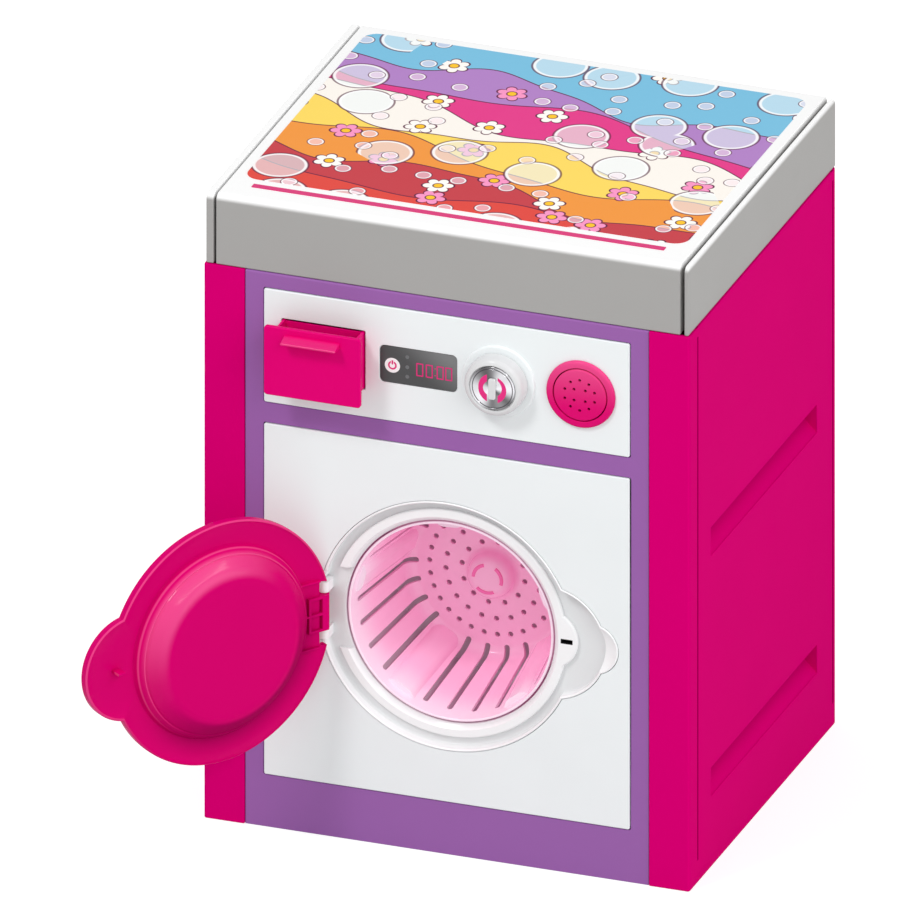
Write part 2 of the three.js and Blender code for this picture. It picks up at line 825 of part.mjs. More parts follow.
/** The door, drawn closed about its hinge axis with its inner side at +Y. */
function door() {
  const floor = doorFaceDepth + doorWall;
  const rimTop = floor + doorRimHeight;
  const shell = cut(
    doorPrism(0, doorFaceDepth, rimTop),
    doorPrism(-doorRimWall, floor, rimTop + overrun),
    block(
      [-doorRadius, doorFaceDepth - overrun, -doorNotchHeight / 2],
      [doorNotchReach, rimTop + overrun, doorNotchHeight / 2],
    ),
  );
  const half = knuckleHeight / 2;
  const knuckle = join(
    post(knuckleRadius, -half, half, smallSides),
    block([0, -knuckleRadius, -half], [knuckleReach, knuckleDepth, half]),
  );
  const ribEnd = hingeOffset - dishFootRadius + doorRibReach;
  const outerRib = doorNotchHeight / 2 + doorRibWall;
  const ribs = [
    [doorNotchReach, outerRib - doorRibWall, outerRib],
    [knuckleReach - overrun, -doorRibWall / 2, doorRibWall / 2],
    [doorNotchReach, -outerRib, doorRibWall - outerRib],
  ].map(([start, low, high]) => block([start, floor - overrun, low], [ribEnd, rimTop, high]));
  const nub = block(
    [
      hingeOffset + latchSlotOffset - latchNubLength / 2,
      floor - overrun,
      -latchNubWidth / 2,
    ],
    [
      hingeOffset + latchSlotOffset + latchNubLength / 2,
      floor + latchNubHeight,
      latchNubWidth / 2,
    ],
  );
  const whole = join(shell, dishTurned(0, floor - doorWall / 2), knuckle, nub, ...ribs);
  const pockets = [-1, 1].map((side) => {
    const low = side * (knuckleRib / 2);
    const high = side * (half - knuckleRib);
    return block(
      [knuckleRadius + knuckleRib, doorFaceDepth + doorWall, Math.min(low, high)],
      [knuckleReach - knuckleRib, knuckleDepth + overrun, Math.max(low, high)],
    );
  });
  const dish = dishTurned(doorWall, doorFaceDepth - overrun);
  const bore = post(hingePinRadius + hingeClearance, -half - overrun, half + overrun, smallSides);
  return cut(whole, dish, bore, ...pockets);
}

/** The drum's inner outline from its front edge to the middle of its back wall. */
function drumOutline(grow) {
  const cornerStart = drumBackDepth - drumCornerRadius;
  const arc = [];
  for (let step = 0; step <= cornerSteps; step += 1) {
    const angle = (step / cornerSteps) * (Math.PI / 2);
    arc.push([
      drumBackRadius - drumCornerRadius + (drumCornerRadius + grow) * Math.cos(angle),
      cornerStart + (drumCornerRadius + grow) * Math.sin(angle),
    ]);
  }
  return [[drumFrontRadius + grow, drumFrontDepth], ...arc, [0, drumBackDepth + grow]];
}

/** Radius of the drum's inside at a depth on its tapered wall. */
function drumRadiusAt(depth) {
  const cornerStart = drumBackDepth - drumCornerRadius;
  const along = (depth - drumFrontDepth) / (cornerStart - drumFrontDepth);
  return drumFrontRadius + along * (drumBackRadius - drumFrontRadius);
}

/** A paddle along the drum's wall, drawn at an angle round the axis. */
function lifter(angle) {
  const back = drumBackDepth + drumWall / 2;
  const outer = drumRadiusAt(lifterFrontDepth) + drumWall / 2;
  const inner = drumBackRadius - lifterHeight;
  const section = polygon([
    [lifterFrontDepth, outer],
    [lifterFrontDepth + lifterRampLength, drumRadiusAt(lifterFrontDepth) - lifterHeight],
    [back - drumCornerRadius / 2, inner],
    [back, inner],
    [back, outer],
  ]);
  const settings = { depth: lifterWidth, bevelEnabled: false };
  const geometry = new THREE.ExtrudeGeometry(section, settings);
  geometry.translate(0, 0, -lifterWidth / 2);
  const turn = new THREE.Matrix4().makeBasis(
    new THREE.Vector3(0, 1, 0),
    new THREE.Vector3(1, 0, 0),
    new THREE.Vector3(0, 0, -1),
  );
  geometry.applyMatrix4(turn);
  geometry.rotateY(-angle);
  return solidOf(geometry);
}

/** A slot cutter that runs from the drum's back wall along its side wall. */
function slotCutter(angle) {
  const reach = drumFrontRadius + 2 * drumWall;
  const geometry = new THREE.BoxGeometry(
    reach - slotStartRadius,
    drumBackDepth + 2 * drumWall - slotEndDepth,
    slotWidth,
  );
  geometry.translate(
    (reach + slotStartRadius) / 2,
    (drumBackDepth + 2 * drumWall + slotEndDepth) / 2,
    0,
  );
  geometry.rotateY(-angle);
  return solidOf(geometry);
}

/** The drum, drawn about its axis: tapered pot with hub, holes, slots and lifters. */
function drum() {
  const outside = drumOutline(drumWall);
  const shellOutline = [...outside, ...drumOutline(0).reverse(), outside[0]];
  const envelope = turned([[0, drumFrontDepth], ...drumOutline(drumWall / 2)]);
  const slotAngle = (place) => THREE.MathUtils.degToRad(firstSlotAngle + (place * 360) / slotPlaces);
  let pot = turned(shellOutline);
  const places = Array.from({ length: slotPlaces }, (_, place) => place);
  const slots = places.filter((place) => !lifterPlaces.includes(place));
  pot = cut(pot, ...slots.map((place) => slotCutter(slotAngle(place))));
  for (const place of lifterPlaces) {
    pot = join(pot, lifter(slotAngle(place)).intersect(envelope));
  }
  const cutters = holeRingRadii.flatMap((radius, index) => (
    roundPlaces(holeRingCounts[index], radius, THREE.MathUtils.degToRad(holeRingTurns[index]))
  )).map(([x, z]) => {
    const near = drumBackDepth - drumWall;
    return rod(drumHoleRadius, near, drumBackDepth + 2 * drumWall, holeSides, x, z);
  });
  pot = cut(pot, ...cutters);
  const hubFace = drumBackDepth - drumHubHeight;
  const hub = join(
    rod(drumHubRadius, hubFace, drumBackDepth + drumWall, mediumSides),
    ring(
      drumHubRingRadius + drumHubRingWidth / 2,
      drumHubRingRadius - drumHubRingWidth / 2,
      hubFace - drumHubRingHeight,
      hubFace + overrun,
      mediumSides,
    ),
  );
  const bore = rod(shaftRadius + fitGap, shaftHubDepth - fitGap, drumBackDepth + 2 * drumWall);
  return cut(join(pot, hub), bore);
}

/** The tub that encloses the drum and carries its bush, drawn about the drum's axis. */
function outerTub() {
  const near = seatBack + fitGap;
  const inner = drumFrontRadius + drumWall + tubClearance;
  const outline = [
    [inner, near],
    [seatRadius, near],
    [seatRadius, near + tubWall],
    [inner + tubWall, near + tubWall],
    [inner + tubWall, tubBackDepth + tubWall],
    [tubBossRadius, tubBackDepth + tubWall],
    [tubBossRadius, tubBossBackDepth],
    [bushRadius + fitGap, tubBossBackDepth],
    [bushRadius + fitGap, tubBossFrontDepth],
    [tubBossRadius, tubBossFrontDepth],
    [tubBossRadius, tubBackDepth],
    [inner, tubBackDepth],
    [inner, near],
  ];
  const clipLeft = latchSlotOffset - latchSlotLength / 2 - latchClipWall - fitGap;
  const clipHalf = latchClipHeight / 2 + fitGap;
  const clipNotch = block(
    [clipLeft, near - overrun, -clipHalf],
    [seatRadius + overrun, near + tubWall + overrun, clipHalf],
  );
  return cut(turned(outline, tubSides), clipNotch);
}

/** The bush in the tub's boss, with a flange behind it. */
function shaftBush() {
  const bore = shaftRadius + runningGap;
  const flangeFront = tubBossBackDepth + fitGap;
  return turned([
    [bore, tubBossFrontDepth],
    [bushRadius, tubBossFrontDepth],
    [bushRadius, flangeFront],
    [bushFlangeRadius, flangeFront],
    [bushFlangeRadius, flangeFront + bushFlangeWall],
    [bore, flangeFront + bushFlangeWall],
    [bore, tubBossFrontDepth],
  ], mediumSides);
}

/** Pitch radius of a gear. */
function pitchRadius(teeth) {
  return (toothSize * teeth) / 2;
}

/** A spur gear with a tooth at the phase angle, bored for its shaft. */
function gear(teeth, boreRadius, phase) {
  const pitch = pitchRadius(teeth);
  const tip = pitch + tipShare * toothSize;
  const root = pitch - 1.25 * toothSize;
  const slope = Math.tan(THREE.MathUtils.degToRad(pressureAngle));
  const halfPitchTooth = (Math.PI * toothSize - gearBacklash) / 4;
  const halfTip = (halfPitchTooth - slope * (tip - pitch)) / tip;
  const halfRoot = (halfPitchTooth + slope * (pitch - root)) / root;
  const outline = [];
  for (let tooth = 0; tooth < teeth; tooth += 1) {
    const middle = phase + (tooth * 2 * Math.PI) / teeth;
    const flanks = [[root, -halfRoot], [tip, -halfTip], [tip, halfTip], [root, halfRoot]];
    for (const [radius, offset] of flanks) {
      outline.push([radius * Math.cos(middle + offset), radius * Math.sin(middle + offset)]);
    }
  }
  const wheel = plate(polygon(outline), gearFrontDepth, gearFrontDepth + gearWidth);
  const bore = rod(boreRadius, gearFrontDepth - overrun, gearFrontDepth + gearWidth + overrun);
  return cut(wheel, bore);
}

/** Height of the idler's axis above the drum's axis. */
function idlerRise() {
  return pitchRadius(drumGearTeeth) + pitchRadius(idlerTeeth);
}

/** Height of the motor's axis above the drum's axis. */
function motorRise() {
  return idlerRise() + pitchRadius(idlerTeeth) + pitchRadius(pinionTeeth);
}

/** The bracket behind the gears: a plate on four posts, bored for shaft, pin and motor. */
function gearBracket() {
  const low = -pitchRadius(drumGearTeeth) - bracketMargin;
  const high = motorRise() + motorRadius + bracketPostRadius;
  const back = bracketFrontDepth + bracketWall;
  const face = roundedRect(bracketWidth, high - low, bracketPostRadius, 0, (high + low) / 2);
  let bracket = plate(face, bracketFrontDepth, back);
  const across = bracketWidth / 2 - bracketPostRadius;
  const tubRadius = drumFrontRadius + tubClearance;
  const topPost = Math.min(high - bracketPostRadius, Math.sqrt(tubRadius ** 2 - across ** 2)
    - 2 * bracketPostRadius);
  for (const x of [-across, across]) {
    for (const z of [low + bracketPostRadius, topPost]) {
      const near = tubBackDepth + tubWall + fitGap;
      bracket = join(bracket, rod(bracketPostRadius, near, back, smallSides, x, z));
    }
  }
  const near = bracketFrontDepth - overrun;
  const far = back + overrun;
  return cut(
    bracket,
    rod(shaftRadius + runningGap, near, far),
    rod(idlerPinRadius + fitGap, near, far, smallSides, 0, idlerRise()),
    rod(motorNoseRadius + fitGap, near, far, smallSides, 0, motorRise()),
  );
}

/** The idler's pin with its head behind the bracket. */
function idlerPin() {
  const back = bracketFrontDepth + bracketWall + fitGap;
  return join(
    rod(idlerPinRadius, gearFrontDepth - fitGap, back + idlerPinRadius),
    rod(2 * idlerPinRadius, back, back + idlerPinRadius),
  );
}

/** The motor, drawn about its axis, with its nose in the bracket. */
function motor() {
  const front = bracketFrontDepth + bracketWall + fitGap;
  const back = front + motorLength;
  const body = join(
    rod(motorNoseRadius, front - motorNoseHeight, front + overrun, smallSides),
    rod(motorRadius, front, back, mediumSides),
    rod(motorNoseRadius, back - overrun, back + motorNoseHeight, smallSides),
    block(
      [-motorNoseHeight, back - overrun, motorRadius / 2],
      [motorNoseHeight, back + motorTerminalHeight, motorRadius / 2 + labelWall],
    ),
  );
  const boreRadius = motorShaftRadius + runningGap;
  const bore = rod(boreRadius, front - motorNoseHeight - overrun, motorShaftBack() + fitGap);
  return cut(body, bore);
}

/** Depth of the motor shaft's inner end. */
function motorShaftBack() {
  return bracketFrontDepth + bracketWall + motorShaftReach;
}

/** The drawer: front plate with finger lip, and an open tray behind it. */
function drawer() {
  const plateFront = -drawerOut - drawerPlateWall;
  const trayBack = drawerTrayLength - drawerOut;
  const halfWidth = drawerSlotWidth / 2 - drawerRunGap;
  const halfHeight = drawerSlotHeight / 2 - drawerRunGap;
  const face = roundedRect(drawerPlateWidth, drawerPlateHeight, drawerPlateCorner);
  const tray = block([-halfWidth, -drawerOut - overrun, -halfHeight], [halfWidth, trayBack, halfHeight]);
  const hollow = block(
    [-halfWidth + drawerWall, -drawerOut, -halfHeight + drawerWall],
    [halfWidth - drawerWall, trayBack - drawerWall, halfHeight + overrun],
  );
  const lipTop = drawerPlateHeight / 2 - drawerLipDrop;
  const lip = block(
    [-drawerLipWidth / 2, plateFront - drawerLipReach, lipTop - drawerLipWall],
    [drawerLipWidth / 2, plateFront + overrun, lipTop],
  );
  return join(plate(face, plateFront, -drawerOut), cut(tray, hollow), lip);
}

/** The sleeve behind the control fascia that the drawer runs in. */
function drawerGuide() {
  const near = fasciaWall + fitGap;
  const outer = roundedRect(drawerSlotWidth + 2 * guideWall, drawerSlotHeight + 2 * guideWall, guideWall);
  const flange = roundedRect(
    drawerSlotWidth + 2 * guideWall + 2 * guideFlange,
    drawerSlotHeight + 2 * guideWall + 2 * guideFlange,
    guideWall,
  );
  const inner = roundedRect(drawerSlotWidth, drawerSlotHeight, fitGap);
  return cut(
    join(plate(outer, near, guideDepth), plate(flange, near, near + guideWall)),
    plate(inner, near - overrun, guideDepth + overrun),
  );
}

/** The knob, drawn about its axis: a skirted cap with a boss for the switch shaft. */
function knob() {
  const base = -knobCollarHeight - fitGap;
  const front = -knobProud;
  const recess = front + knobDiscInset + knobDiscWall;
  const inside = recess + knobWall;
  const bore = switchShaftRadius + fitGap;
  const edge = [];
  for (let step = 0; step <= cornerSteps; step += 1) {
    const angle = (step / cornerSteps) * (Math.PI / 2);
    edge.push([
      knobFrontRadius - knobEdgeRadius + knobEdgeRadius * Math.cos(angle),
      front + knobEdgeRadius - knobEdgeRadius * Math.sin(angle),
    ]);
  }
  return turned([
    [0, inside],
    [bore, inside],
    [bore, base - overrun],
    [bore + knobBossWall, base - overrun],
    [bore + knobBossWall, inside],
    [knobBaseRadius - 2 * knobWall, inside],
    [knobBaseRadius - knobWall, base],
    [knobBaseRadius, base],
    ...edge,
    [knobDiscRadius + fitGap, front],
    [knobDiscRadius + fitGap, recess],
    [0, recess],
  ], tubSides);
}

/** The rotary switch on the circuit board, with a nose that the shaft turns in. */
function rotarySwitch() {
  const back = boardDepth;
  const front = back - switchHeight;
  const half = switchWidth / 2;
  return cut(
    join(
      block([-half, front, -half], [half, back, half]),
      rod(switchNoseRadius, front - switchNoseHeight, front + overrun, smallSides),
    ),
    rod(switchShaftRadius + fitGap, front - switchNoseHeight - overrun, back - fasciaReturn),
  );
}

/** The bezel round the sound button, with its sleeve through the fascia. */
function soundBezel() {
  return turned([
    [bezelInnerRadius, -bezelHeight],
    [bezelInnerRadius, bezelSleeveDepth],
    [bezelInnerRadius + bezelSleeveWall, bezelSleeveDepth],
    [bezelInnerRadius + bezelSleeveWall, -fitGap],
    [bezelRadius, -fitGap],
    [bezelRadius - bezelHeight / 4, -bezelHeight],
    [bezelInnerRadius, -bezelHeight],
  ], tubSides);
}

/** The sound button: a disc with the grille holes, a skirt and a lug over its switch. */
function soundButton() {
  const face = -buttonProud;
  const skirtInner = buttonRadius - buttonSkirtWall;
  const cap = turned([
    [0, face],
    [buttonRadius - buttonWall / 2, face],
    [buttonRadius, face + buttonWall / 2],
    [buttonRadius, buttonSkirtDepth],
    [skirtInner, buttonSkirtDepth],
    [skirtInner, face + buttonWall],
    [0, face + buttonWall],
  ]);
  const lug = block(
    [-tactWidth / 2, buttonSkirtDepth - overrun, -buttonRadius],
    [tactWidth / 2, buttonLugEnd(), -skirtInner],
  );
  const outer = roundPlaces(grilleOuterCount, grilleOuterRadius, Math.PI / grilleOuterCount);
  const inner = roundPlaces(grilleInnerCount, grilleInnerRadius, Math.PI / grilleInnerCount);
  const holes = [...outer, ...inner].map(([x, z]) => {
    return rod(grilleHoleRadius, face - overrun, face + buttonWall + overrun, holeSides, x, z);
  });
  return cut(join(cap, lug), ...holes);
}

/** Depth of the free end of the button's lug at rest. */
function buttonLugEnd() {
  return boardDepth - tactHeight - tactPlungerHeight - buttonTravel - fitGap;
}

/** The speaker on the circuit board, behind the grille. */
function speaker() {
  const back = boardDepth;
  const front = back - speakerHeight;
  return turned([
    [0, front + overrun],
    [speakerRadius - 2 * overrun, front + overrun],
    [speakerRadius - 2 * overrun, front],
    [speakerRadius, front],
    [speakerRadius, front + 2 * overrun],
    [speakerMagnetRadius, front + speakerHeight / 2],
    [speakerMagnetRadius, back],
    [0, back],
  ], mediumSides);
}

/** The button's return spring, drawn as the sleeve that its pressed coils fill. */
function buttonSpring() {
  const near = buttonSkirtDepth + buttonTravel + fitGap;
  const outer = buttonRadius;
  const sleeve = ring(outer, outer - springWall, near, boardDepth, mediumSides);
  const lugGapHalf = tactWidth / 2 + overrun;
  return cut(sleeve, block(
    [-lugGapHalf, near - overrun, -outer - overrun],
    [lugGapHalf, boardDepth + overrun, 0],
  ));
}

/** The tact switch under the button's lug. */
function tactSwitch() {
  const half = tactWidth / 2;
  const middle = -buttonRadius + buttonSkirtWall / 2;
  const front = boardDepth - tactHeight;
  return join(
    block([-half, front, middle - half], [half, boardDepth, middle + half]),
    rod(tactPlungerRadius, front - tactPlungerHeight, front + overrun, smallSides, 0, middle),
  );
}

/** The circuit board behind the control fascia. */
function circuitBoard() {
  return block(
    [boardX - boardWidth / 2, boardDepth, controlMiddle - boardHeight / 2],
    [boardX + boardWidth / 2, boardBack, controlMiddle + boardHeight / 2],
  );
}

/** The base plate between the side panels. */
function basePlate() {
  const front = caseWall + fitGap + caseWall + fitGap;
  return block(
    [-wallX + fitGap, front, 0],
    [wallX - fitGap, backPanelFront - fitGap, baseWall],
  );
}

/** Left and right ends and half height of the battery cover's opening. */
function batteryBay() {
  const half = cellLength / 2 + cellTipLength + contactWall + fitGap;
  return {
    left: -half,
    right: half,
    bossRight: half + batteryBossWidth,
    half: (cellPitch * cellCount) / 2,
  };
}

/** The back panel with the battery bay's opening and its screw holes. */
function backPanel() {
  const bay = batteryBay();
  let panel = block(
    [-wallX + fitGap, backPanelFront, 0],
    [wallX - fitGap, backPanelBack, bodyHeight],
  );
  panel = cut(panel, block(
    [bay.left, backPanelFront - overrun, batteryHeight - bay.half],
    [bay.bossRight, backPanelBack + overrun, batteryHeight + bay.half],
  ));
  for (const side of [-1, 1]) {
    for (const height of [lowScrewHeight, bodyHeight - topScrewMargin]) {
      panel = cut(panel, rod(
        screwShankRadius + fitGap,
        backPanelFront - overrun,
        backPanelBack + overrun,
        smallSides,
        side * backScrewX(),
        height,
      ));
    }
  }
  return panel;
}

/** The battery box: an open tray with a boss for the cover's screw. */
function batteryBox() {
  const bay = batteryBay();
  const back = backPanelFront - fitGap;
  const front = back - 2 * cellRadius - batteryWall - 2 * fitGap;
  const shell = block(
    [bay.left - batteryWall, front, batteryHeight - bay.half - batteryWall],
    [bay.bossRight + batteryWall, back, batteryHeight + bay.half + batteryWall],
  );
  const hollow = block(
    [bay.left, front + batteryWall, batteryHeight - bay.half],
    [bay.right, back + overrun, batteryHeight + bay.half],
  );
  const screwHole = rod(
    screwShankRadius + fitGap,
    back - screwLength,
    back + overrun,
    smallSides,
    (bay.right + bay.bossRight) / 2 + batteryWall / 2,
    batteryHeight,
  );
  return cut(shell, hollow, screwHole);
}

/** One AA cell along X, with its raised tip at the right or the left. */
function cell(index) {
  const side = index % 2 === 0 ? 1 : -1;
  const height = batteryHeight + (index - (cellCount - 1) / 2) * cellPitch;
  const depth = backPanelFront - 2 * fitGap - cellRadius;
  const body = new THREE.CylinderGeometry(cellRadius, cellRadius, cellLength, mediumSides);
  const tipStart = cellLength / 2 - cellTipLength;
  const tip = new THREE.CylinderGeometry(cellTipRadius, cellTipRadius, 2 * cellTipLength, smallSides);
  tip.translate(0, -side * (tipStart + cellTipLength), 0);
  return [body, tip].map((geometry) => {
    geometry.rotateZ(Math.PI / 2);
    geometry.translate(0, depth, height);
    return solidOf(geometry);
  }).reduce((whole, part) => whole.add(part));
}

/** A contact plate at one end of the cells. */
function contactPlate(side) {
  const bay = batteryBay();
  const outer = side * (bay.right - fitGap / 2);
  const inner = outer - side * contactWall;
  const back = backPanelFront - fitGap;
  return block(
    [Math.min(inner, outer), back - 2 * cellRadius, batteryHeight - bay.half + fitGap],
    [Math.max(inner, outer), back, batteryHeight + bay.half - fitGap],
  );
}

/** The cover of the battery bay, flush with the back panel. */
function batteryCover() {
  const bay = batteryBay();
  return cut(
    block(
      [bay.left + fitGap, backPanelBack - coverWall, batteryHeight - bay.half + fitGap],
      [bay.bossRight - fitGap, backPanelBack, batteryHeight + bay.half - fitGap],
    ),
    rod(
      screwShankRadius + fitGap,
      backPanelBack - coverWall - overrun,
      backPanelBack + overrun,
      smallSides,
      (bay.right + bay.bossRight) / 2 + batteryWall / 2,
      batteryHeight,
    ),
  );
}

/** A pan-head screw whose head lies on the back panel's outer face. */
function screw() {
  const seat = backPanelBack + fitGap;
  const tip = seat - screwLength;
  return turned([
    [0, tip],
    [screwShankRadius / 2, tip],
    [screwShankRadius, tip + screwShankRadius],
    [screwShankRadius, seat],
    [screwHeadRadius, seat],
    [screwHeadRadius, seat + screwHeadHeight / 2],
    [screwHeadRadius / 2, seat + screwHeadHeight],
    [0, seat + screwHeadHeight],
  ], smallSides);
}

/** Side view of the top: flat, with a rounded front and back edge. */
function capSection(inset, top, radius) {
  const front = capInset + inset;
  const back = caseDepth - capInset - inset;
  const shape = new THREE.Shape();
  shape.moveTo(front, bodyHeight + fitGap);
  shape.lineTo(back, bodyHeight + fitGap);
  for (let step = 0; step <= capEdgeSteps; step += 1) {
    const angle = (step / capEdgeSteps) * (Math.PI / 2);
    shape.lineTo(back - radius + radius * Math.cos(angle), top - radius + radius * Math.sin(angle));
  }
  for (let step = capEdgeSteps; step >= 0; step -= 1) {
    const angle = (step / capEdgeSteps) * (Math.PI / 2);
    shape.lineTo(front + radius - radius * Math.cos(angle), top - radius + radius * Math.sin(angle));
  }
  return shape;
}

/** Left and right ends of the top cover between its end plates. */
function coverEnds() {
  return [
    -sideX + capInset + leftPlateWall + leftSeam,
    sideX - capInset - rightPlateWall - rightSeam,
  ];
}

/** The top cover: a shell that stands on the body, open below. */
function topCover() {
  const [left, right] = coverEnds();
  const inner = capSection(capWall, capTop - capWall, capEdgeRadius - capWall / 2);
  const hollow = crosswise(inner, left + capWall, right - capWall);
  const opening = block(
    [left + capWall, capInset + capWall, bodyHeight - overrun],
    [right - capWall, caseDepth - capInset - capWall, bodyHeight + capEdgeRadius],
  );
  return cut(crosswise(capSection(0, capTop, capEdgeRadius), left, right), hollow, opening);
}

/** An end plate of the top. */
function endPlate(left, right, top) {
  return crosswise(capSection(0, top, capEdgeRadius), left, right);
}

/** The printed label on the top cover. */
function topLabel() {
  const [left, right] = coverEnds();
  const width = right - left - 2 * topLabelSideMargin;
  const depth = caseDepth - topLabelBackMargin - topLabelFrontMargin;
  const shape = roundedRect(
    width,
    depth,
    topLabelCorner,
    (left + right) / 2,
    topLabelFrontMargin + depth / 2,
  );
  return upright(shape, capTop, capTop + topLabelWall);
}

/** The printed stripe along the front of the top cover. */
function topStripe() {
  const [left, right] = coverEnds();
  return block(
    [left + stripeSideMargin, stripeFrontMargin, capTop],
    [right - stripeSideMargin, stripeFrontMargin + stripeWidth, capTop + topLabelWall],
  );
}

/** Case: base, sides, back, front frame, fascias and top. */
function caseGroup() {
  const right = rightSidePanel();
  return placed(
    0,
    0,
    0,
    piece('base_plate', basePlate(), whitePlastic),
    piece('side_panel_right', right, pinkPlastic),
    piece('side_panel_left', mirrored(right), pinkPlastic),
    piece('back_panel', backPanel(), pinkPlastic),
    piece('front_frame', frontFrame(), purplePlastic),
    piece('control_fascia', controlFascia(), whitePlastic),
    piece('door_fascia', doorFascia(), whitePlastic),
    piece('top_cover', topCover(), whitePlastic),
    piece(
      'top_end_plate_left',
      endPlate(-sideX + capInset, -sideX + capInset + leftPlateWall, capTop),
      whitePlastic,
    ),
    piece(
      'top_end_plate_right',
      endPlate(sideX - capInset - rightPlateWall, sideX - capInset, capTop - rightPlateDrop),
      whitePlastic,
    ),
    piece('top_label', topLabel(), printedLabel),
    piece('top_stripe', topStripe(), printedLabel),
  );
}

/** Porthole ring, its latch clip, the hinge pin and the open door. */
function portholeGroup() {
  const reach = hingePinReach();
  const openDoor = placed(-hingeOffset, -hingeProud, 0, piece('door', door(), pinkPlastic));
  openDoor.rotation.z = -THREE.MathUtils.degToRad(doorOpenAngle);
  return placed(
    0,
    0,
    portholeHeight,
    piece('porthole_ring', portholeRing(), whitePlastic),
    piece('latch_clip', latchClip(), whitePlastic),
    piece(
      'hinge_pin',
      post(hingePinRadius, -reach, reach, smallSides, -hingeOffset, -hingeProud),
      steel,
    ),
    openDoor,
  );
}

/** Drum, tub and the geared drive behind it. */
function driveGroup() {
  const upward = Math.PI / 2;
  const idlerPhase = upward + Math.PI / idlerTeeth;
  return placed(
    0,
    0,
    portholeHeight,
    piece('drum', drum(), drumPlastic),
    piece('drum_shaft', rod(shaftRadius, shaftHubDepth, shaftBackDepth), steel),
    piece('drum_gear', gear(drumGearTeeth, shaftRadius + fitGap, upward), gearPlastic),
    piece('outer_tub', outerTub(), greyPlastic),
    piece('shaft_bush', shaftBush(), brass),
    piece('gear_bracket', gearBracket(), greyPlastic),
    placed(
      0,
      0,
      idlerRise(),
      piece('idler_gear', gear(idlerTeeth, idlerPinRadius + runningGap, idlerPhase), gearPlastic),
      piece('idler_pin', idlerPin(), steel),
    ),
    placed(
      0,
      0,
      motorRise(),
      piece('motor_pinion', gear(pinionTeeth, motorShaftRadius + fitGap, -upward), brass),
      piece('motor_shaft', rod(motorShaftRadius, gearFrontDepth, motorShaftBack()), steel),
      piece('motor', motor(), steel),
    ),
  );
}

/** Drawer, display, knob, sound button and what lies behind them. */
function controlGroup() {
  const discBack = -knobProud + knobDiscInset + knobDiscWall;
  const discFront = -knobProud + knobDiscInset;
  const shaftFront = discBack + knobWall + fitGap;
  const shaftBack = boardDepth - fasciaReturn - fitGap;
  const bar = roundedRect(pointerWidth, pointerLength, pointerWidth / 4);
  const label = roundedRect(displayWidth, displayHeight, displayCorner);
  return placed(
    0,
    0,
    0,
    placed(
      drawerX,
      0,
      controlMiddle,
      piece('drawer', drawer(), pinkPlastic),
      piece('drawer_guide', drawerGuide(), whitePlastic),
    ),
    placed(
      displayX,
      0,
      controlMiddle,
      piece('display_label', plate(label, displayRecess - labelWall, displayRecess), displayPrint),
    ),
    placed(
      knobX,
      0,
      controlMiddle,
      piece('knob', knob(), whitePlastic),
      piece('knob_disc', rod(knobDiscRadius, discFront, discBack, largeSides), chrome),
      piece('knob_pointer', plate(bar, discFront - pointerHeight, discFront), whitePlastic),
      piece('switch_shaft', rod(switchShaftRadius, shaftFront, shaftBack), whitePlastic),
      piece('rotary_switch', rotarySwitch(), blackPlastic),
    ),
    placed(
      soundX,
      0,
      controlMiddle,
      piece('sound_bezel', soundBezel(), pinkPlastic),
      piece('sound_button', soundButton(), pinkPlastic),
      piece('button_spring', buttonSpring(), steel),
      piece('tact_switch', tactSwitch(), blackPlastic),
      piece('speaker', speaker(), blackPlastic),
    ),
    piece('circuit_board', circuitBoard(), boardGreen),
  );
}

/** Battery box, cells, contacts, cover and all screws. */
function backGroup() {
  const bay = batteryBay();
  const coverScrewX = (bay.right + bay.bossRight) / 2 + batteryWall / 2;
  const screwPlaces = [-1, 1].flatMap((side) => [
    [side * backScrewX(), lowScrewHeight],
    [side * backScrewX(), bodyHeight - topScrewMargin],
  ]);
  const cells = Array.from({ length: cellCount }, (_, index) => (
    piece(`battery_${index + 1}`, cell(index), cellSleeve)
  ));
  return placed(
    0,
    0,
    0,
    piece('battery_box', batteryBox(), blackPlastic),
    piece('battery_cover', batteryCover(), pinkPlastic),
    piece('contact_plate_left', contactPlate(-1), steel),
    piece('contact_plate_right', contactPlate(1), steel),
    placed(coverScrewX, 0, batteryHeight, piece('cover_screw', screw(), steel)),
    ...cells,
    ...screwPlaces.map(([x, z], index) => (
      placed(x, 0, z, piece(`back_screw_${index + 1}`, screw(), steel))
    )),
  );
}

const group = placed(
  0,
  -caseDepth / 2,
  0,
  caseGroup(),
  portholeGroup(),
  driveGroup(),
  controlGroup(),
  backGroup(),
);

export default group;
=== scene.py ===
"""Looks of a toy washing machine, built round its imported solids.

Lengths in the classes are millimetres. A place is (x, depth, z): x to the right of the
middle, depth behind the front face and z above the floor. A profile is a row of corners,
each with its radius, depth and rounding. Form.show turns the finished shape into metres
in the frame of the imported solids.
"""

import logging
import math
from dataclasses import dataclass
from enum import Enum
from functools import cache
from typing import Callable, Iterable, Iterator, Sequence

import bmesh
import bpy
from mathutils import Matrix, Vector


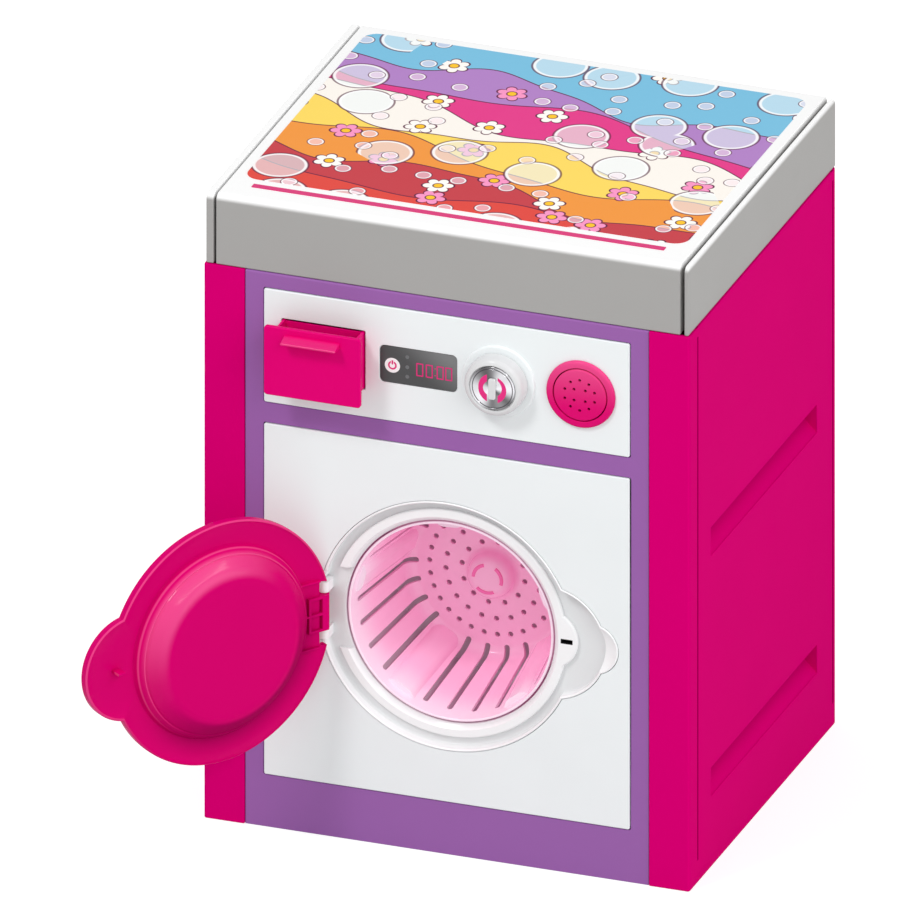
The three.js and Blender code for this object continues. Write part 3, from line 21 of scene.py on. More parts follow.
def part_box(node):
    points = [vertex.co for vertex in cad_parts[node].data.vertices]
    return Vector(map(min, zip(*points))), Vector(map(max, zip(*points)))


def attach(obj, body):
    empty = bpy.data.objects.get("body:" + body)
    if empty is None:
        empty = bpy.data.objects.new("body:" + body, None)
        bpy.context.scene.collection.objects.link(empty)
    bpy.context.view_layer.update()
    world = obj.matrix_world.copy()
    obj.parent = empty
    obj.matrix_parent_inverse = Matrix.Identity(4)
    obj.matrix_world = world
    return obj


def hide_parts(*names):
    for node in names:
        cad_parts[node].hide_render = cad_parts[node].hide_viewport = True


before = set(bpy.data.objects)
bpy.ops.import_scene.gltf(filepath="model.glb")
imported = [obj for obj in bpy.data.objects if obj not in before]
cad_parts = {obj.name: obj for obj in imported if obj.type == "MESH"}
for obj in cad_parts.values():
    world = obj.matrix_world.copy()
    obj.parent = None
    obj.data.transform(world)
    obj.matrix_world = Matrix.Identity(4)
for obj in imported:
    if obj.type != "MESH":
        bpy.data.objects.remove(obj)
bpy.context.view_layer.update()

LOG = logging.getLogger("toy_washing_machine")
FRONT = -126.0
MILLI = 0.001
TINY = 1e-4
WHITE = (1.0, 1.0, 1.0, 1.0)
FASCIA_HALF = 113.4
OPENING_INSET = 0.2
EDGE_ANGLE = 40.0
SMOOTH_ANGLE = 32.0
Point = Sequence[float]
Pair = tuple[float, float]
Colour = tuple[int, int, int]
Ring = tuple[float, int, float]
Corner = tuple[float, float, float]
Inputs = dict[str | int, object]


class Body(Enum):
    """The rigid bodies that new pieces ride on."""

    CASE = "case"
    DOOR = "door"
    DRUM = "drum"
    DRAWER = "drawer"
    KNOB = "knob"
    BUTTON = "button"


class Slot(Enum):
    """The record's material slots."""

    PINK = "pink_plastic"
    PURPLE = "purple_plastic"
    WHITE = "white_plastic"
    BLACK = "black_plastic"
    DRUM = "drum_plastic"
    CHROME = "chrome"
    STEEL = "steel"
    LABEL = "label"
    DISPLAY = "display"


class Side(Enum):
    """Left or right of the middle, as seen from the front."""

    LEFT = -1
    RIGHT = 1

    def span(self, inner: float, outer: float) -> Pair:
        """The lower and higher place of a stretch on this side."""
        low, high = sorted((self.value * inner, self.value * outer))
        return low, high


class Boolean(Enum):
    """How one form changes another."""

    JOIN = "UNION"
    CUT = "DIFFERENCE"
    KEEP = "INTERSECT"


def linear(colour: Colour, alpha: float = 1.0) -> tuple[float, float, float, float]:
    """Turns a colour as seen on screen into the shader's own values.

    Args:
        colour: Red, green and blue from 0 to 255.
        alpha: Opacity.

    Returns:
        Linear red, green, blue and alpha.
    """
    shares = [part / 255 for part in colour]
    values = [s / 12.92 if s <= 0.04045 else ((s + 0.055) / 1.055) ** 2.4 for s in shares]
    return (values[0], values[1], values[2], alpha)


def operation(name: str) -> Callable[..., "Value"]:
    """A method that works out one Math node's operation on a value and others.

    Args:
        name: The operation's name.

    Returns:
        The method.
    """
    def method(value: "Value", *others: "Value | float") -> "Value":
        """Adds the Math node."""
        return value.math(name, *others)
    return method


class Value:
    """A number in a shader that Python's operators work on."""

    __add__ = __radd__ = operation("ADD")
    __sub__ = operation("SUBTRACT")
    __mul__ = __rmul__ = operation("MULTIPLY")
    __truediv__ = operation("DIVIDE")
    __pow__ = operation("POWER")
    sine = operation("SINE")
    size = operation("ABSOLUTE")
    above = operation("GREATER_THAN")
    least = operation("MINIMUM")
    most = operation("MAXIMUM")
    bearing = operation("ARCTAN2")

    def __init__(self, shader: "Nodes", socket: bpy.types.NodeSocket) -> None:
        """Keeps the socket and the node tree that it belongs to."""
        self.shader = shader
        self.socket = socket

    def math(self, name: str, *others: "Value | float") -> "Value":
        """Adds a Math node of that operation."""
        inputs = dict(enumerate([self, *others]))
        return self.shader.value("ShaderNodeMath", {"operation": name}, inputs)

    def __rsub__(self, other: "Value | float") -> "Value":
        """Another less this."""
        return self * -1.0 + other

    def ramp(self, low: float, high: float) -> "Value":
        """Rises smoothly from zero at low to one at high.

        Args:
            low: Where it starts to rise.
            high: Where it is one.

        Returns:
            The share.
        """
        settings = {"interpolation_type": "SMOOTHSTEP"}
        inputs = {"Value": self, "From Min": low, "From Max": high}
        return self.shader.value("ShaderNodeMapRange", settings, inputs)


class Nodes:
    """A node tree, filled by a few short calls."""

    def __init__(self, owner: bpy.types.Material | bpy.types.World) -> None:
        """Empties the tree of a material or a world.

        Args:
            owner: The material or world.
        """
        owner.use_nodes = True
        self.tree = owner.node_tree
        self.tree.nodes.clear()

    def node(
        self, kind: str, settings: dict[str, object] | None = None, inputs: Inputs | None = None
    ) -> bpy.types.Node:
        """Adds a node, sets it up and fills its sockets.

        Args:
            kind: The node's type.
            settings: Its own settings.
            inputs: A value or a link for each named or numbered socket.

        Returns:
            The node.
        """
        made = self.tree.nodes.new(kind)
        for key, setting in (settings or {}).items():
            setattr(made, key, setting)
        for key, given in (inputs or {}).items():
            if isinstance(given, Value):
                self.tree.links.new(given.socket, made.inputs[key])
            elif isinstance(given, bpy.types.NodeSocket):
                self.tree.links.new(given, made.inputs[key])
            else:
                made.inputs[key].default_value = given
        return made

    def value(
        self,
        kind: str,
        settings: dict[str, object] | None = None,
        inputs: Inputs | None = None,
        output: str | int = 0,
    ) -> Value:
        """Adds a node and returns one of its outputs as a value."""
        return Value(self, self.node(kind, settings, inputs).outputs[output])

    def seen(self) -> Value:
        """One for what the camera, a gloss or clear plastic shows, zero for the light itself.

        Returns:
            The mask.
        """
        path = self.node("ShaderNodeLightPath")
        camera, gloss, clear = [
            Value(self, path.outputs[f"Is {kind} Ray"])
            for kind in ("Camera", "Glossy", "Transmission")
        ]
        return camera.most(gloss).most(clear)


class Shader(Nodes):
    """A material in the making."""

    def __init__(self, name: str) -> None:
        """Makes an empty material of that name."""
        self.material = bpy.data.materials.new(name)
        super().__init__(self.material)

    def place(self) -> Value:
        """The point on the piece, in the frame's metres."""
        return self.value("ShaderNodeTexCoord", output="Object")

    def axes(self) -> tuple[Value, Value, Value]:
        """The point's x, y and z in millimetres, as three values.

        Returns:
            The three values.
        """
        split = self.node("ShaderNodeSeparateXYZ", inputs={0: self.place()})
        x, y, z = [Value(self, socket) * (1 / MILLI) for socket in split.outputs]
        return x, y, z

    def noise(self, size: float, detail: float = 2.0, place: Value | None = None) -> Value:
        """Soft random values about one half, in spots of a size in millimetres."""
        inputs = {"Vector": place or self.place(), "Scale": 1 / (size * MILLI), "Detail": detail}
        return self.value("ShaderNodeTexNoise", inputs=inputs)

    def scratches(self, length: float, share: float) -> Value:
        """Fine scratches: one on a line, zero elsewhere.

        Args:
            length: Rough length of a scratch in millimetres.
            share: How many of them show, from 0 to 1.

        Returns:
            The mask.
        """
        stretched = self.value(
            "ShaderNodeMapping",
            inputs={"Vector": self.place(), "Scale": (6.0, 0.5, 0.5), "Rotation": (0.7, 0.5, 0.9)},
        )
        lines = self.noise(length, 3.0, stretched)
        patches = self.noise(length * 5, 1.0)
        return lines.ramp(0.64, 0.7) * patches.ramp(0.45, 0.6) * share

    def mix(self, factor: Value | float, first: object, second: object) -> Value:
        """Blends two colours by the share of the second.

        Args:
            factor: Share of the second.
            first: One colour.
            second: The other.

        Returns:
            The blend.
        """
        settings = {"data_type": "RGBA"}
        inputs = {"Factor": factor, 6: first, 7: second}
        node = self.node("ShaderNodeMix", settings, inputs)
        return Value(self, node.outputs[2])

    def bump(self, height: Value, distance: float) -> Value:
        """A normal bent by a height from 0 to 1, where 1 is a distance in millimetres."""
        inputs = {"Height": height, "Distance": distance * MILLI, "Strength": 1.0}
        return self.value("ShaderNodeBump", inputs=inputs, output="Normal")


@dataclass(frozen=True)
class Finish:
    """A material of the palette."""

    name: str

    def inputs(self, shader: Shader) -> Inputs:
        """The Principled shader's inputs, which each kind of finish gives."""
        raise NotImplementedError

    def build(self) -> bpy.types.Material:
        """Makes the material.

        Returns:
            The material.
        """
        shader = Shader(self.name)
        principled = shader.node("ShaderNodeBsdfPrincipled", inputs=self.inputs(shader))
        shader.node("ShaderNodeOutputMaterial", inputs={"Surface": principled.outputs[0]})
        return shader.material


@dataclass(frozen=True)
class MouldedPlastic(Finish):
    """Glossy moulded plastic with a faint mould grain and fine scuffs."""

    colour: Colour
    roughness: float = 0.3
    specular: float = 0.3
    coat: float = 0.0
    variation: float = 0.03
    grain_size: float = 0.7
    grain_height: float = 0.004
    scuffs: float = 0.4

    def tint(self, shader: Shader) -> Value:
        """The colour with slow, slight changes over the piece.

        Args:
            shader: The material in the making.

        Returns:
            The colour.
        """
        light = linear(self.colour)
        dark = tuple(part * (1 - self.variation * 2) for part in light[:3]) + (1.0,)
        return shader.mix(shader.noise(60, 3.0), dark, light)

    def sheen(self, shader: Shader) -> Value:
        """Roughness: smudged, and duller where it is scuffed."""
        smudge = shader.noise(25, 4.0) * 0.1 - 0.05
        return smudge + shader.scratches(14, self.scuffs) * 0.12 + self.roughness

    def relief(self, shader: Shader) -> Value:
        """The mould's grain as a bump."""
        return shader.bump(shader.noise(self.grain_size, 2.0), self.grain_height)

    def inputs(self, shader: Shader) -> Inputs:
        """The Principled shader's inputs.

        Args:
            shader: The material in the making.

        Returns:
            A value or a link for each socket.
        """
        return {
            "Base Color": self.tint(shader),
            "Roughness": self.sheen(shader),
            "Normal": self.relief(shader),
            "Specular IOR Level": self.specular,
            "Coat Weight": self.coat,
            "Coat Roughness": 0.08,
        }


@dataclass(frozen=True)
class TintedPlastic(MouldedPlastic):
    """Milky tinted plastic with a painted glow: emission in place of light let through."""

    # Painted glow: an emission that stands in for light let through the plastic.
    painted_glow_colour: Colour = (250, 116, 176)
    glow: float = 0.14
    # Painted light: a paler colour towards the drum's mouth.
    mouth_colour: Colour = (240, 228, 239)
    mouth: Pair = (10.0, 38.0)

    def tint(self, shader: Shader) -> Value:
        """The colour, paler towards the drum's mouth, where light gets in.

        Args:
            shader: The material in the making.

        Returns:
            The colour.
        """
        _, y, _ = shader.axes()
        pale = 1.0 - (y - FRONT).ramp(*self.mouth)
        return shader.mix(pale, super().tint(shader), linear(self.mouth_colour))

    def inputs(self, shader: Shader) -> Inputs:
        """Adds the painted glow, an emission in place of light let through."""
        glow = {"Emission Color": linear(self.painted_glow_colour), "Emission Strength": self.glow}
        return super().inputs(shader) | glow


@dataclass(frozen=True)
class SideShadePlastic(MouldedPlastic):
    """White plastic with painted shade: upright sides grey below the rounded edge."""

    # Painted shade: the grey of the upright sides.
    shade_side_colours: tuple[Colour, Colour] = ((167, 166, 164), (170, 169, 167))
    edge_height: float = 397.0
    edge_softness: float = 1.6

    def tint(self, shader: Shader) -> Value:
        """White on top, painted shade in grey on the sides.

        Args:
            shader: The material in the making.

        Returns:
            The colour.
        """
        _, _, z = shader.axes()
        top = (z - self.edge_height).ramp(-self.edge_softness, self.edge_softness)
        grey = shader.mix(shader.noise(60, 3.0), *map(linear, self.shade_side_colours))
        return shader.mix(top, grey, linear(self.colour))


@dataclass(frozen=True)
class RecessedPlastic(MouldedPlastic):
    """White plastic with painted shade, a little greyer, down in its channel."""

    # Painted shade at the bottom of the channel.
    painted_shade_colour: Colour = (226, 228, 229)
    from_depth: float = 4.3
    to_depth: float = 6.4

    def tint(self, shader: Shader) -> Value:
        """White above, painted shade in grey at the bottom of the channel.

        Args:
            shader: The material in the making.

        Returns:
            The colour.
        """
        _, y, _ = shader.axes()
        deep = (y - FRONT).ramp(self.from_depth, self.to_depth)
        speck = shader.noise(60, 3.0) * 0.1
        return shader.mix(deep * 0.9 + speck, linear(self.colour), linear(self.painted_shade_colour))


@dataclass(frozen=True)
class PolishedDish(MouldedPlastic):
    """Door plastic: painted highlight on one side of the dish wall, duller painted shade on the
    other.
    """

    centre: Point = (-119.08, -188.18, 146.25)
    axis: Point = (0.809, -0.588, 0.0)
    deep_way: Point = (0.294, 0.405, -0.866)
    band: Pair = (45.0, 56.5)
    foot: Pair = (58.0, 74.0)
    polish: float = 0.22
    # Radii of the painted highlight lines along the step edges.
    steps: Pair = (59.2, 56.4)
    # Height and radius past which the rim's top gets a painted highlight.
    rim: Pair = (4.9, 75.1)
    # Colours of the painted highlight and the painted shade.
    painted_highlight_colour: Colour = (240, 84, 148)
    painted_shade_colour: Colour = (160, 0, 82)

    def places(self, shader: Shader) -> tuple[Value, Value, Value]:
        """Distance from the dish's axis, share of the way to its deep side, and height.

        Args:
            shader: The material in the making.

        Returns:
            The three values.
        """
        steps = [value - middle for value, middle in zip(shader.axes(), self.centre)]
        along = steps[0] * self.axis[0] + steps[1] * self.axis[1]
        square = steps[0] * steps[0] + steps[1] * steps[1] + steps[2] * steps[2]
        radius = (square - along * along).most(0.0) ** 0.5
        reach = sum((step * part for step, part in zip(steps, self.deep_way)), 0.0)
        return radius, reach / radius.most(1.0), along

    def wall(self, radius: Value) -> Value:
        """One on the dish's wall, zero on the flats."""
        inner, outer = self.band
        return radius.ramp(inner - 2.0, inner + 3.0) * (1.0 - radius.ramp(outer, outer + 2.0))

    def tint(self, shader: Shader) -> Value:
        """The colour with painted highlight and shade on the wall and painted highlights on its
        edges.

        Args:
            shader: The material in the making.

        Returns:
            The colour.
        """
        radius, side, height = self.places(shader)
        inner, _ = self.band
        pale = self.wall(radius) * (side * -1.0).ramp(0.25, 1.0) * 0.62
        deep = radius.ramp(inner, inner + 4.0) * (1.0 - radius.ramp(*self.foot))
        colour = shader.mix(pale, super().tint(shader), linear(self.painted_highlight_colour))
        colour = shader.mix(deep * side.ramp(-0.1, 0.9) * 0.9, colour, linear(self.painted_shade_colour))
        # Painted highlights along the rim's top and the step edges.
        low, far = self.rim
        edges = height.above(low) * radius.above(far)
        for step in self.steps:
            edges = edges.most(1.0 - (radius - step).size().ramp(0.15, 0.55))
        return shader.mix(edges * (side * -1.0).ramp(-0.6, 0.5) * 0.55, colour,
                          linear(self.painted_highlight_colour))

    def sheen(self, shader: Shader) -> Value:
        """Roughness: duller on the deep side of the wall."""
        radius, side, _ = self.places(shader)
        return super().sheen(shader) + self.wall(radius) * side.ramp(-0.1, 0.5) * 0.5

    def inputs(self, shader: Shader) -> Inputs:
        """Adds the polish on the paler side of the wall.

        Args:
            shader: The material in the making.

        Returns:
            A value or a link for each socket.
        """
        radius, side, _ = self.places(shader)
        polished = self.wall(radius) * (side * -1.0).ramp(-0.2, 0.6) * self.polish
        return super().inputs(shader) | {"Coat Weight": polished, "Coat Roughness": 0.12}


@dataclass(frozen=True)
class GroovedPlastic(MouldedPlastic):
    """Plastic of the side panels, with painted shade down in their upright grooves and grips."""

    # Painted shade in the grooves and grips.
    painted_shade_colour: Colour = (172, 0, 88)
    half_width: float = 150.0
    grooves: Pair = (14.8, 243.9)
    reach: float = 1.3
    least_x: float = 130.0
    grips: Pair = (20.0, 235.0)
    grip_inward: Pair = (13.5, 3.0)

    def tint(self, shader: Shader) -> Value:
        """The colour, with painted shade in the grooves and towards the inside of the grips.

        Args:
            shader: The material in the making.

        Returns:
            The colour.
        """
        x, y, _ = shader.axes()
        depth = y - FRONT
        away = x.size()
        near = [1.0 - (depth - middle).size().ramp(self.reach, self.reach + 0.3)
                for middle in self.grooves]
        sunk = 1.0 - away.ramp(self.half_width - 0.5, self.half_width - 0.1)
        on_side = away.above(self.half_width - 2.0)
        groove = near[0].most(near[1]) * sunk * on_side
        start, end = self.grips
        along = depth.above(start) * (1.0 - depth.above(end)) * away.above(self.least_x)
        inner, outer = [self.half_width - inward for inward in self.grip_inward]
        grip = (1.0 - away.ramp(inner, outer)) * along
        return shader.mix(groove.most(grip), super().tint(shader), linear(self.painted_shade_colour))


@dataclass(frozen=True)
class PaintedTopLightPlastic(MouldedPlastic):
    """Pink plastic with painted light: lighter towards its top, as the button and its rim are."""

    # Painted light towards the top.
    top_light_colour: Colour = (234, 74, 138)
    middle: float = 308.65
    reach: float = 21.0

    def tint(self, shader: Shader) -> Value:
        """The colour with painted light: lighter towards the top.

        Args:
            shader: The material in the making.

        Returns:
            The colour.
        """
        _, _, z = shader.axes()
        rise = (z - self.middle).ramp(-self.reach * 0.5, self.reach * 1.1)
        speck = shader.noise(40, 2.0) * 0.06
        return shader.mix(rise + speck, linear(self.colour), linear(self.top_light_colour))


@dataclass(frozen=True)
class Metal(Finish):
    """Bare or plated metal with fine marks."""

    colour: Colour
    roughness: float = 0.3
    mark_size: float = 1.5

    def inputs(self, shader: Shader) -> Inputs:
        """The Principled shader's inputs.

        Args:
            shader: The material in the making.

        Returns:
            A value or a link for each socket.
        """
        marks = shader.noise(self.mark_size, 4.0)
        light = linear(self.colour)
        dark = tuple(part * 0.82 for part in light[:3]) + (1.0,)
        return {
            "Base Color": shader.mix(marks, dark, light),
            "Roughness": marks * 0.12 + (self.roughness - 0.06),
            "Metallic": 1.0,
            "Normal": shader.bump(shader.noise(0.4, 2.0), 0.003),
        }


@dataclass(frozen=True)
class SpunChrome(Finish):
    """The knob's chromed disc: painted reflections in bright and dark sectors, printed pink scale
    marks.
    """

    node: str = "knob"
    colour: Colour = (226, 226, 230)
    # Painted reflection: colour of the dark sectors.
    reflection_dark_colour: Colour = (92, 90, 92)
    # Painted shade in the ring groove.
    groove_shade_colour: Colour = (70, 70, 74)
    groove_radius: float = 12.4
    print_colour: Colour = (226, 6, 122)
    scale_radius: float = 7.2
    scale_width: float = 4.6
    scale_gap: float = 3.3

    def inputs(self, shader: Shader) -> Inputs:
        """The Principled shader's inputs.

        Args:
            shader: The material in the making.

        Returns:
            A value or a link for each socket.
        """
        centre = Span.of(self.node).centre
        x, _, z = shader.axes()
        across = x - centre.x
        up = z - centre.z
        radius = (across * across + up * up) ** 0.5
        angle = up.bearing(across)
        # Painted reflection: bright and dark sectors by angle round the disc.
        sweep = (angle * 2.0 + 0.6).sine() * 0.5 + 0.5
        fine = (angle * 5.0 + 1.1).sine() * 0.5 + 0.5
        sheen = sweep.ramp(0.1, 0.9) * 0.8 + fine * 0.2
        metal = shader.mix(sheen, linear(self.reflection_dark_colour), linear(self.colour))
        right = across.above(0.0)
        growth = angle * right + (angle.size() - math.pi) * (1.0 - right)
        wedge = 0.62 - (growth / math.pi).least(0.5).most(-0.5) * 0.7
        outside = ((radius - self.scale_radius).size() - wedge * (self.scale_width / 2)).above(0.0)
        printed = (1.0 - outside) * across.size().above(self.scale_gap)
        colour = shader.mix(printed, metal, linear(self.print_colour))
        # Painted shade in the ring groove.
        groove = (radius - self.groove_radius).size().ramp(0.0, 0.45)
        return {
            "Base Color": shader.mix(groove, linear(self.groove_shade_colour), colour),
            "Metallic": 1.0 - printed,
            "Roughness": printed * 0.2 + 0.18,
            "Normal": shader.bump(groove, 0.25),
        }


@dataclass(frozen=True)
class DisplayPanel(Finish):
    """A smoked display label that is lighter towards its right."""

    node: str = "display_label"
    dark: Colour = (60, 61, 62)
    light: Colour = (118, 119, 120)

    def inputs(self, shader: Shader) -> Inputs:
        """The Principled shader's inputs.

        Args:
            shader: The material in the making.

        Returns:
            A value or a link for each socket.
        """
        span = Span.of(self.node)
        x, _, z = shader.axes()
        along = (x - span.centre.x) / (span.size.x / 2) + (z - span.centre.z) * 0.05
        glow = along.ramp(-0.3, 1.5)
        speck = shader.noise(0.25, 1.0) * 0.08
        return {
            "Base Color": shader.mix(glow + speck, linear(self.dark), linear(self.light)),
            "Roughness": shader.noise(8, 2.0) * 0.1 + 0.2,
            "Specular IOR Level": 0.4,
        }


@dataclass(frozen=True)
class WashdayPrint(Finish):
    """The top's printed picture: bands of suds, flowers and soap bubbles, made up for it."""

    bands: tuple[tuple[float, float, float, Colour], ...] = (
        (-84.0, 0.026, 0.4, (196, 60, 70)),
        (-58.0, 0.034, 2.2, (240, 150, 60)),
        (-30.0, 0.029, 3.7, (250, 216, 96)),
        (-4.0, 0.037, 1.1, (250, 244, 236)),
        (22.0, 0.031, 4.9, (226, 54, 136)),
        (48.0, 0.027, 0.9, (176, 128, 196)),
        (74.0, 0.039, 2.9, (120, 190, 222)),
    )
    wave_height: float = 11.0
    tilt: float = 0.16
    petals: float = 6.0
    flower_radius: float = 9.5
    flower_pitch: float = 37.0
    line_width: float = 0.7
    line_colour: Colour = (92, 20, 60)
    first_colour: Colour = (222, 70, 60)
    petal_colours: tuple[Colour, Colour] = ((255, 250, 244), (248, 150, 196))
    heart_colour: Colour = (250, 196, 40)
    heart_radius: float = 3.0
    bubbles: tuple[tuple[float, float, Colour], ...] = (
        (46.0, 0.36, (236, 248, 252)), (25.0, 0.2, (252, 226, 240)),
    )
    shine_colour: Colour = (255, 255, 255)

    def cells(self, shader: Shader, pitch: float, randomness: float) -> bpy.types.Node:
        """Random cells over the print.

        Args:
            shader: The material in the making.
            pitch: Mean distance between them in millimetres.
            randomness: How unevenly they lie, from 0 to 1.

        Returns:
            The texture's node.
        """
        inputs = {
            "Vector": shader.place(), "Scale": 1 / (pitch * MILLI), "Randomness": randomness,
        }
        return shader.node("ShaderNodeTexVoronoi", {"voronoi_dimensions": "2D"}, inputs)

    def flowers(self, shader: Shader, colour: object) -> Value:
        """Strews outlined flowers over a colour.

        Args:
            shader: The material in the making.
            colour: The colour below them.

        Returns:
            The colour with the flowers.
        """
        cells = self.cells(shader, self.flower_pitch, 0.8)
        split = shader.node("ShaderNodeSeparateXYZ", inputs={0: cells.outputs["Position"]})
        x, y, _ = shader.axes()
        across = x - Value(shader, split.outputs[0]) * (1 / MILLI)
        along = y - Value(shader, split.outputs[1]) * (1 / MILLI)
        radius = (across * across + along * along) ** 0.5
        chance = shader.node("ShaderNodeSeparateColor", inputs={0: cells.outputs["Color"]})
        shade, chosen = [Value(shader, chance.outputs[index]) for index in (1, 0)]
        leaf = (along.bearing(across) * (self.petals / 2) + shade * 6.0).sine().size()
        edge = (leaf ** 0.6) * (self.flower_radius * 0.42) + self.flower_radius * 0.58
        picked = 1.0 - chosen.above(0.5)
        petal = (edge - radius).above(0.0) * picked
        outline = (1.0 - (radius - edge).size().ramp(0.3, 0.8)) * picked
        off_heart = radius - self.heart_radius
        heart = (1.0 - off_heart.ramp(-0.1, 0.1)) * picked
        tint = shader.mix(shade.above(0.5), *map(linear, self.petal_colours))
        colour = shader.mix(petal, colour, tint)
        colour = shader.mix(heart, colour, linear(self.heart_colour))
        rim = (1.0 - off_heart.size().ramp(0.2, 0.6)) * picked
        return shader.mix(outline.most(rim), colour, linear(self.line_colour))

    def bubble(
        self, shader: Shader, colour: object, size: float, reach: float, tint: Colour
    ) -> Value:
        """Strews clear soap bubbles over a colour.

        Args:
            shader: The material in the making.
            colour: The colour below them.
            size: Mean distance between them.
            reach: Their radius, as a share of that distance.
            tint: Their own colour.

        Returns:
            The colour with the bubbles.
        """
        cells = self.cells(shader, size, 0.75)
        away = Value(shader, cells.outputs["Distance"])
        split = shader.node("ShaderNodeSeparateColor", inputs={0: cells.outputs["Color"]})
        chosen = Value(shader, split.outputs[0]).above(0.42)
        disc = (1.0 - away.ramp(reach - 0.01, reach)) * chosen
        rim = disc * away.ramp(reach - 0.06, reach - 0.04)
        outline = (1.0 - (away - reach).size().ramp(0.008, 0.02)) * chosen
        for share, layer in (
            (disc * 0.45, tint), (rim * 0.8, self.shine_colour), (outline * 0.8, self.line_colour),
        ):
            colour = shader.mix(share, colour, linear(layer))
        return colour

    def inputs(self, shader: Shader) -> Inputs:
        """The Principled shader's inputs.

        Args:
            shader: The material in the making.

        Returns:
            A value or a link for each socket.
        """
        x, y, _ = shader.axes()
        colour: object = linear(self.first_colour)
        line: Value | float = 0.0
        for start, pace, turn, band in self.bands:
            wave = (x * pace + turn).sine() * self.wave_height + (x * pace * 2.3).sine() * 3.0
            away = y + x * self.tilt + 4.0 - (wave + start)
            colour = shader.mix(away.ramp(0.0, 0.3), colour, linear(band))
            line = (1.0 - away.size().ramp(self.line_width * 0.5, self.line_width)).most(line)
        colour = self.flowers(shader, shader.mix(line, colour, linear(self.line_colour)))
        for bubble in self.bubbles:
            colour = self.bubble(shader, colour, *bubble)
        return {
            "Base Color": colour,
            "Roughness": shader.noise(18, 3.0) * 0.12 + 0.3,
            "Specular IOR Level": 0.05,
            "Normal": shader.bump(shader.noise(0.5, 1.0), 0.002),
        }


@dataclass(frozen=True)
class BoardMask(Finish):
    """A circuit board's green mask with lighter tracks."""

    colours: tuple[Colour, Colour] = ((20, 84, 48), (34, 112, 62))
    track_colour: Colour = (70, 140, 80)

    def inputs(self, shader: Shader) -> Inputs:
        """The Principled shader's inputs.

        Args:
            shader: The material in the making.

        Returns:
            A value or a link for each socket.
        """
        x, _, z = shader.axes()
        tracks = ((x * 1.3).sine().size() * (z * 1.7).sine().size()).ramp(0.72, 0.76)
        mask = shader.mix(shader.noise(4, 2.0), *map(linear, self.colours))
        return {
            "Base Color": shader.mix(tracks, mask, linear(self.track_colour)),
            "Roughness": 0.35,
            "Normal": shader.bump(tracks, 0.03),
        }


@dataclass(frozen=True)
class CellSleeve(Finish):
    """A dry cell's printed sleeve with a copper-coloured end band."""

    colour: Colour = (40, 70, 150)
    band_colour: Colour = (196, 128, 70)
    end_colour: Colour = (190, 190, 192)

    def inputs(self, shader: Shader) -> Inputs:
        """The Principled shader's inputs.

        Args:
            shader: The material in the making.

        Returns:
            A value or a link for each socket.
        """
        x, _, _ = shader.axes()
        band = x.ramp(11.8, 12.0)
        end = x.size().ramp(24.6, 24.7)
        body = shader.mix(band, linear(self.colour), linear(self.band_colour))
        return {
            "Base Color": shader.mix(end, body, linear(self.end_colour)),
            "Roughness": shader.noise(6, 2.0) * 0.1 + 0.25,
            "Metallic": end * 0.9,
        }


@dataclass(frozen=True)
class Span:
    """The box of a CAD node, as places in millimetres."""

    low: Vector
    high: Vector

    @staticmethod
    def of(node: str) -> "Span":
        """Reads the box of a CAD node.

        Args:
            node: The CAD node.

        Returns:
            Its span.
        """
        low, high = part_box(node)
        shift = Vector((0, FRONT, 0))
        return Span(low / MILLI - shift, high / MILLI - shift)

    @property
    def centre(self) -> Vector:
        """The middle of the box."""
        return (self.low + self.high) / 2

    @property
    def middle(self) -> Pair:
        """The middle's x and z."""
        return self.centre.x, self.centre.z

    @property
    def face(self) -> Pair:
        """The box's width and height."""
        return self.size.x, self.size.z

    @property
    def size(self) -> Vector:
        """The box's length along each axis."""
        return self.high - self.low


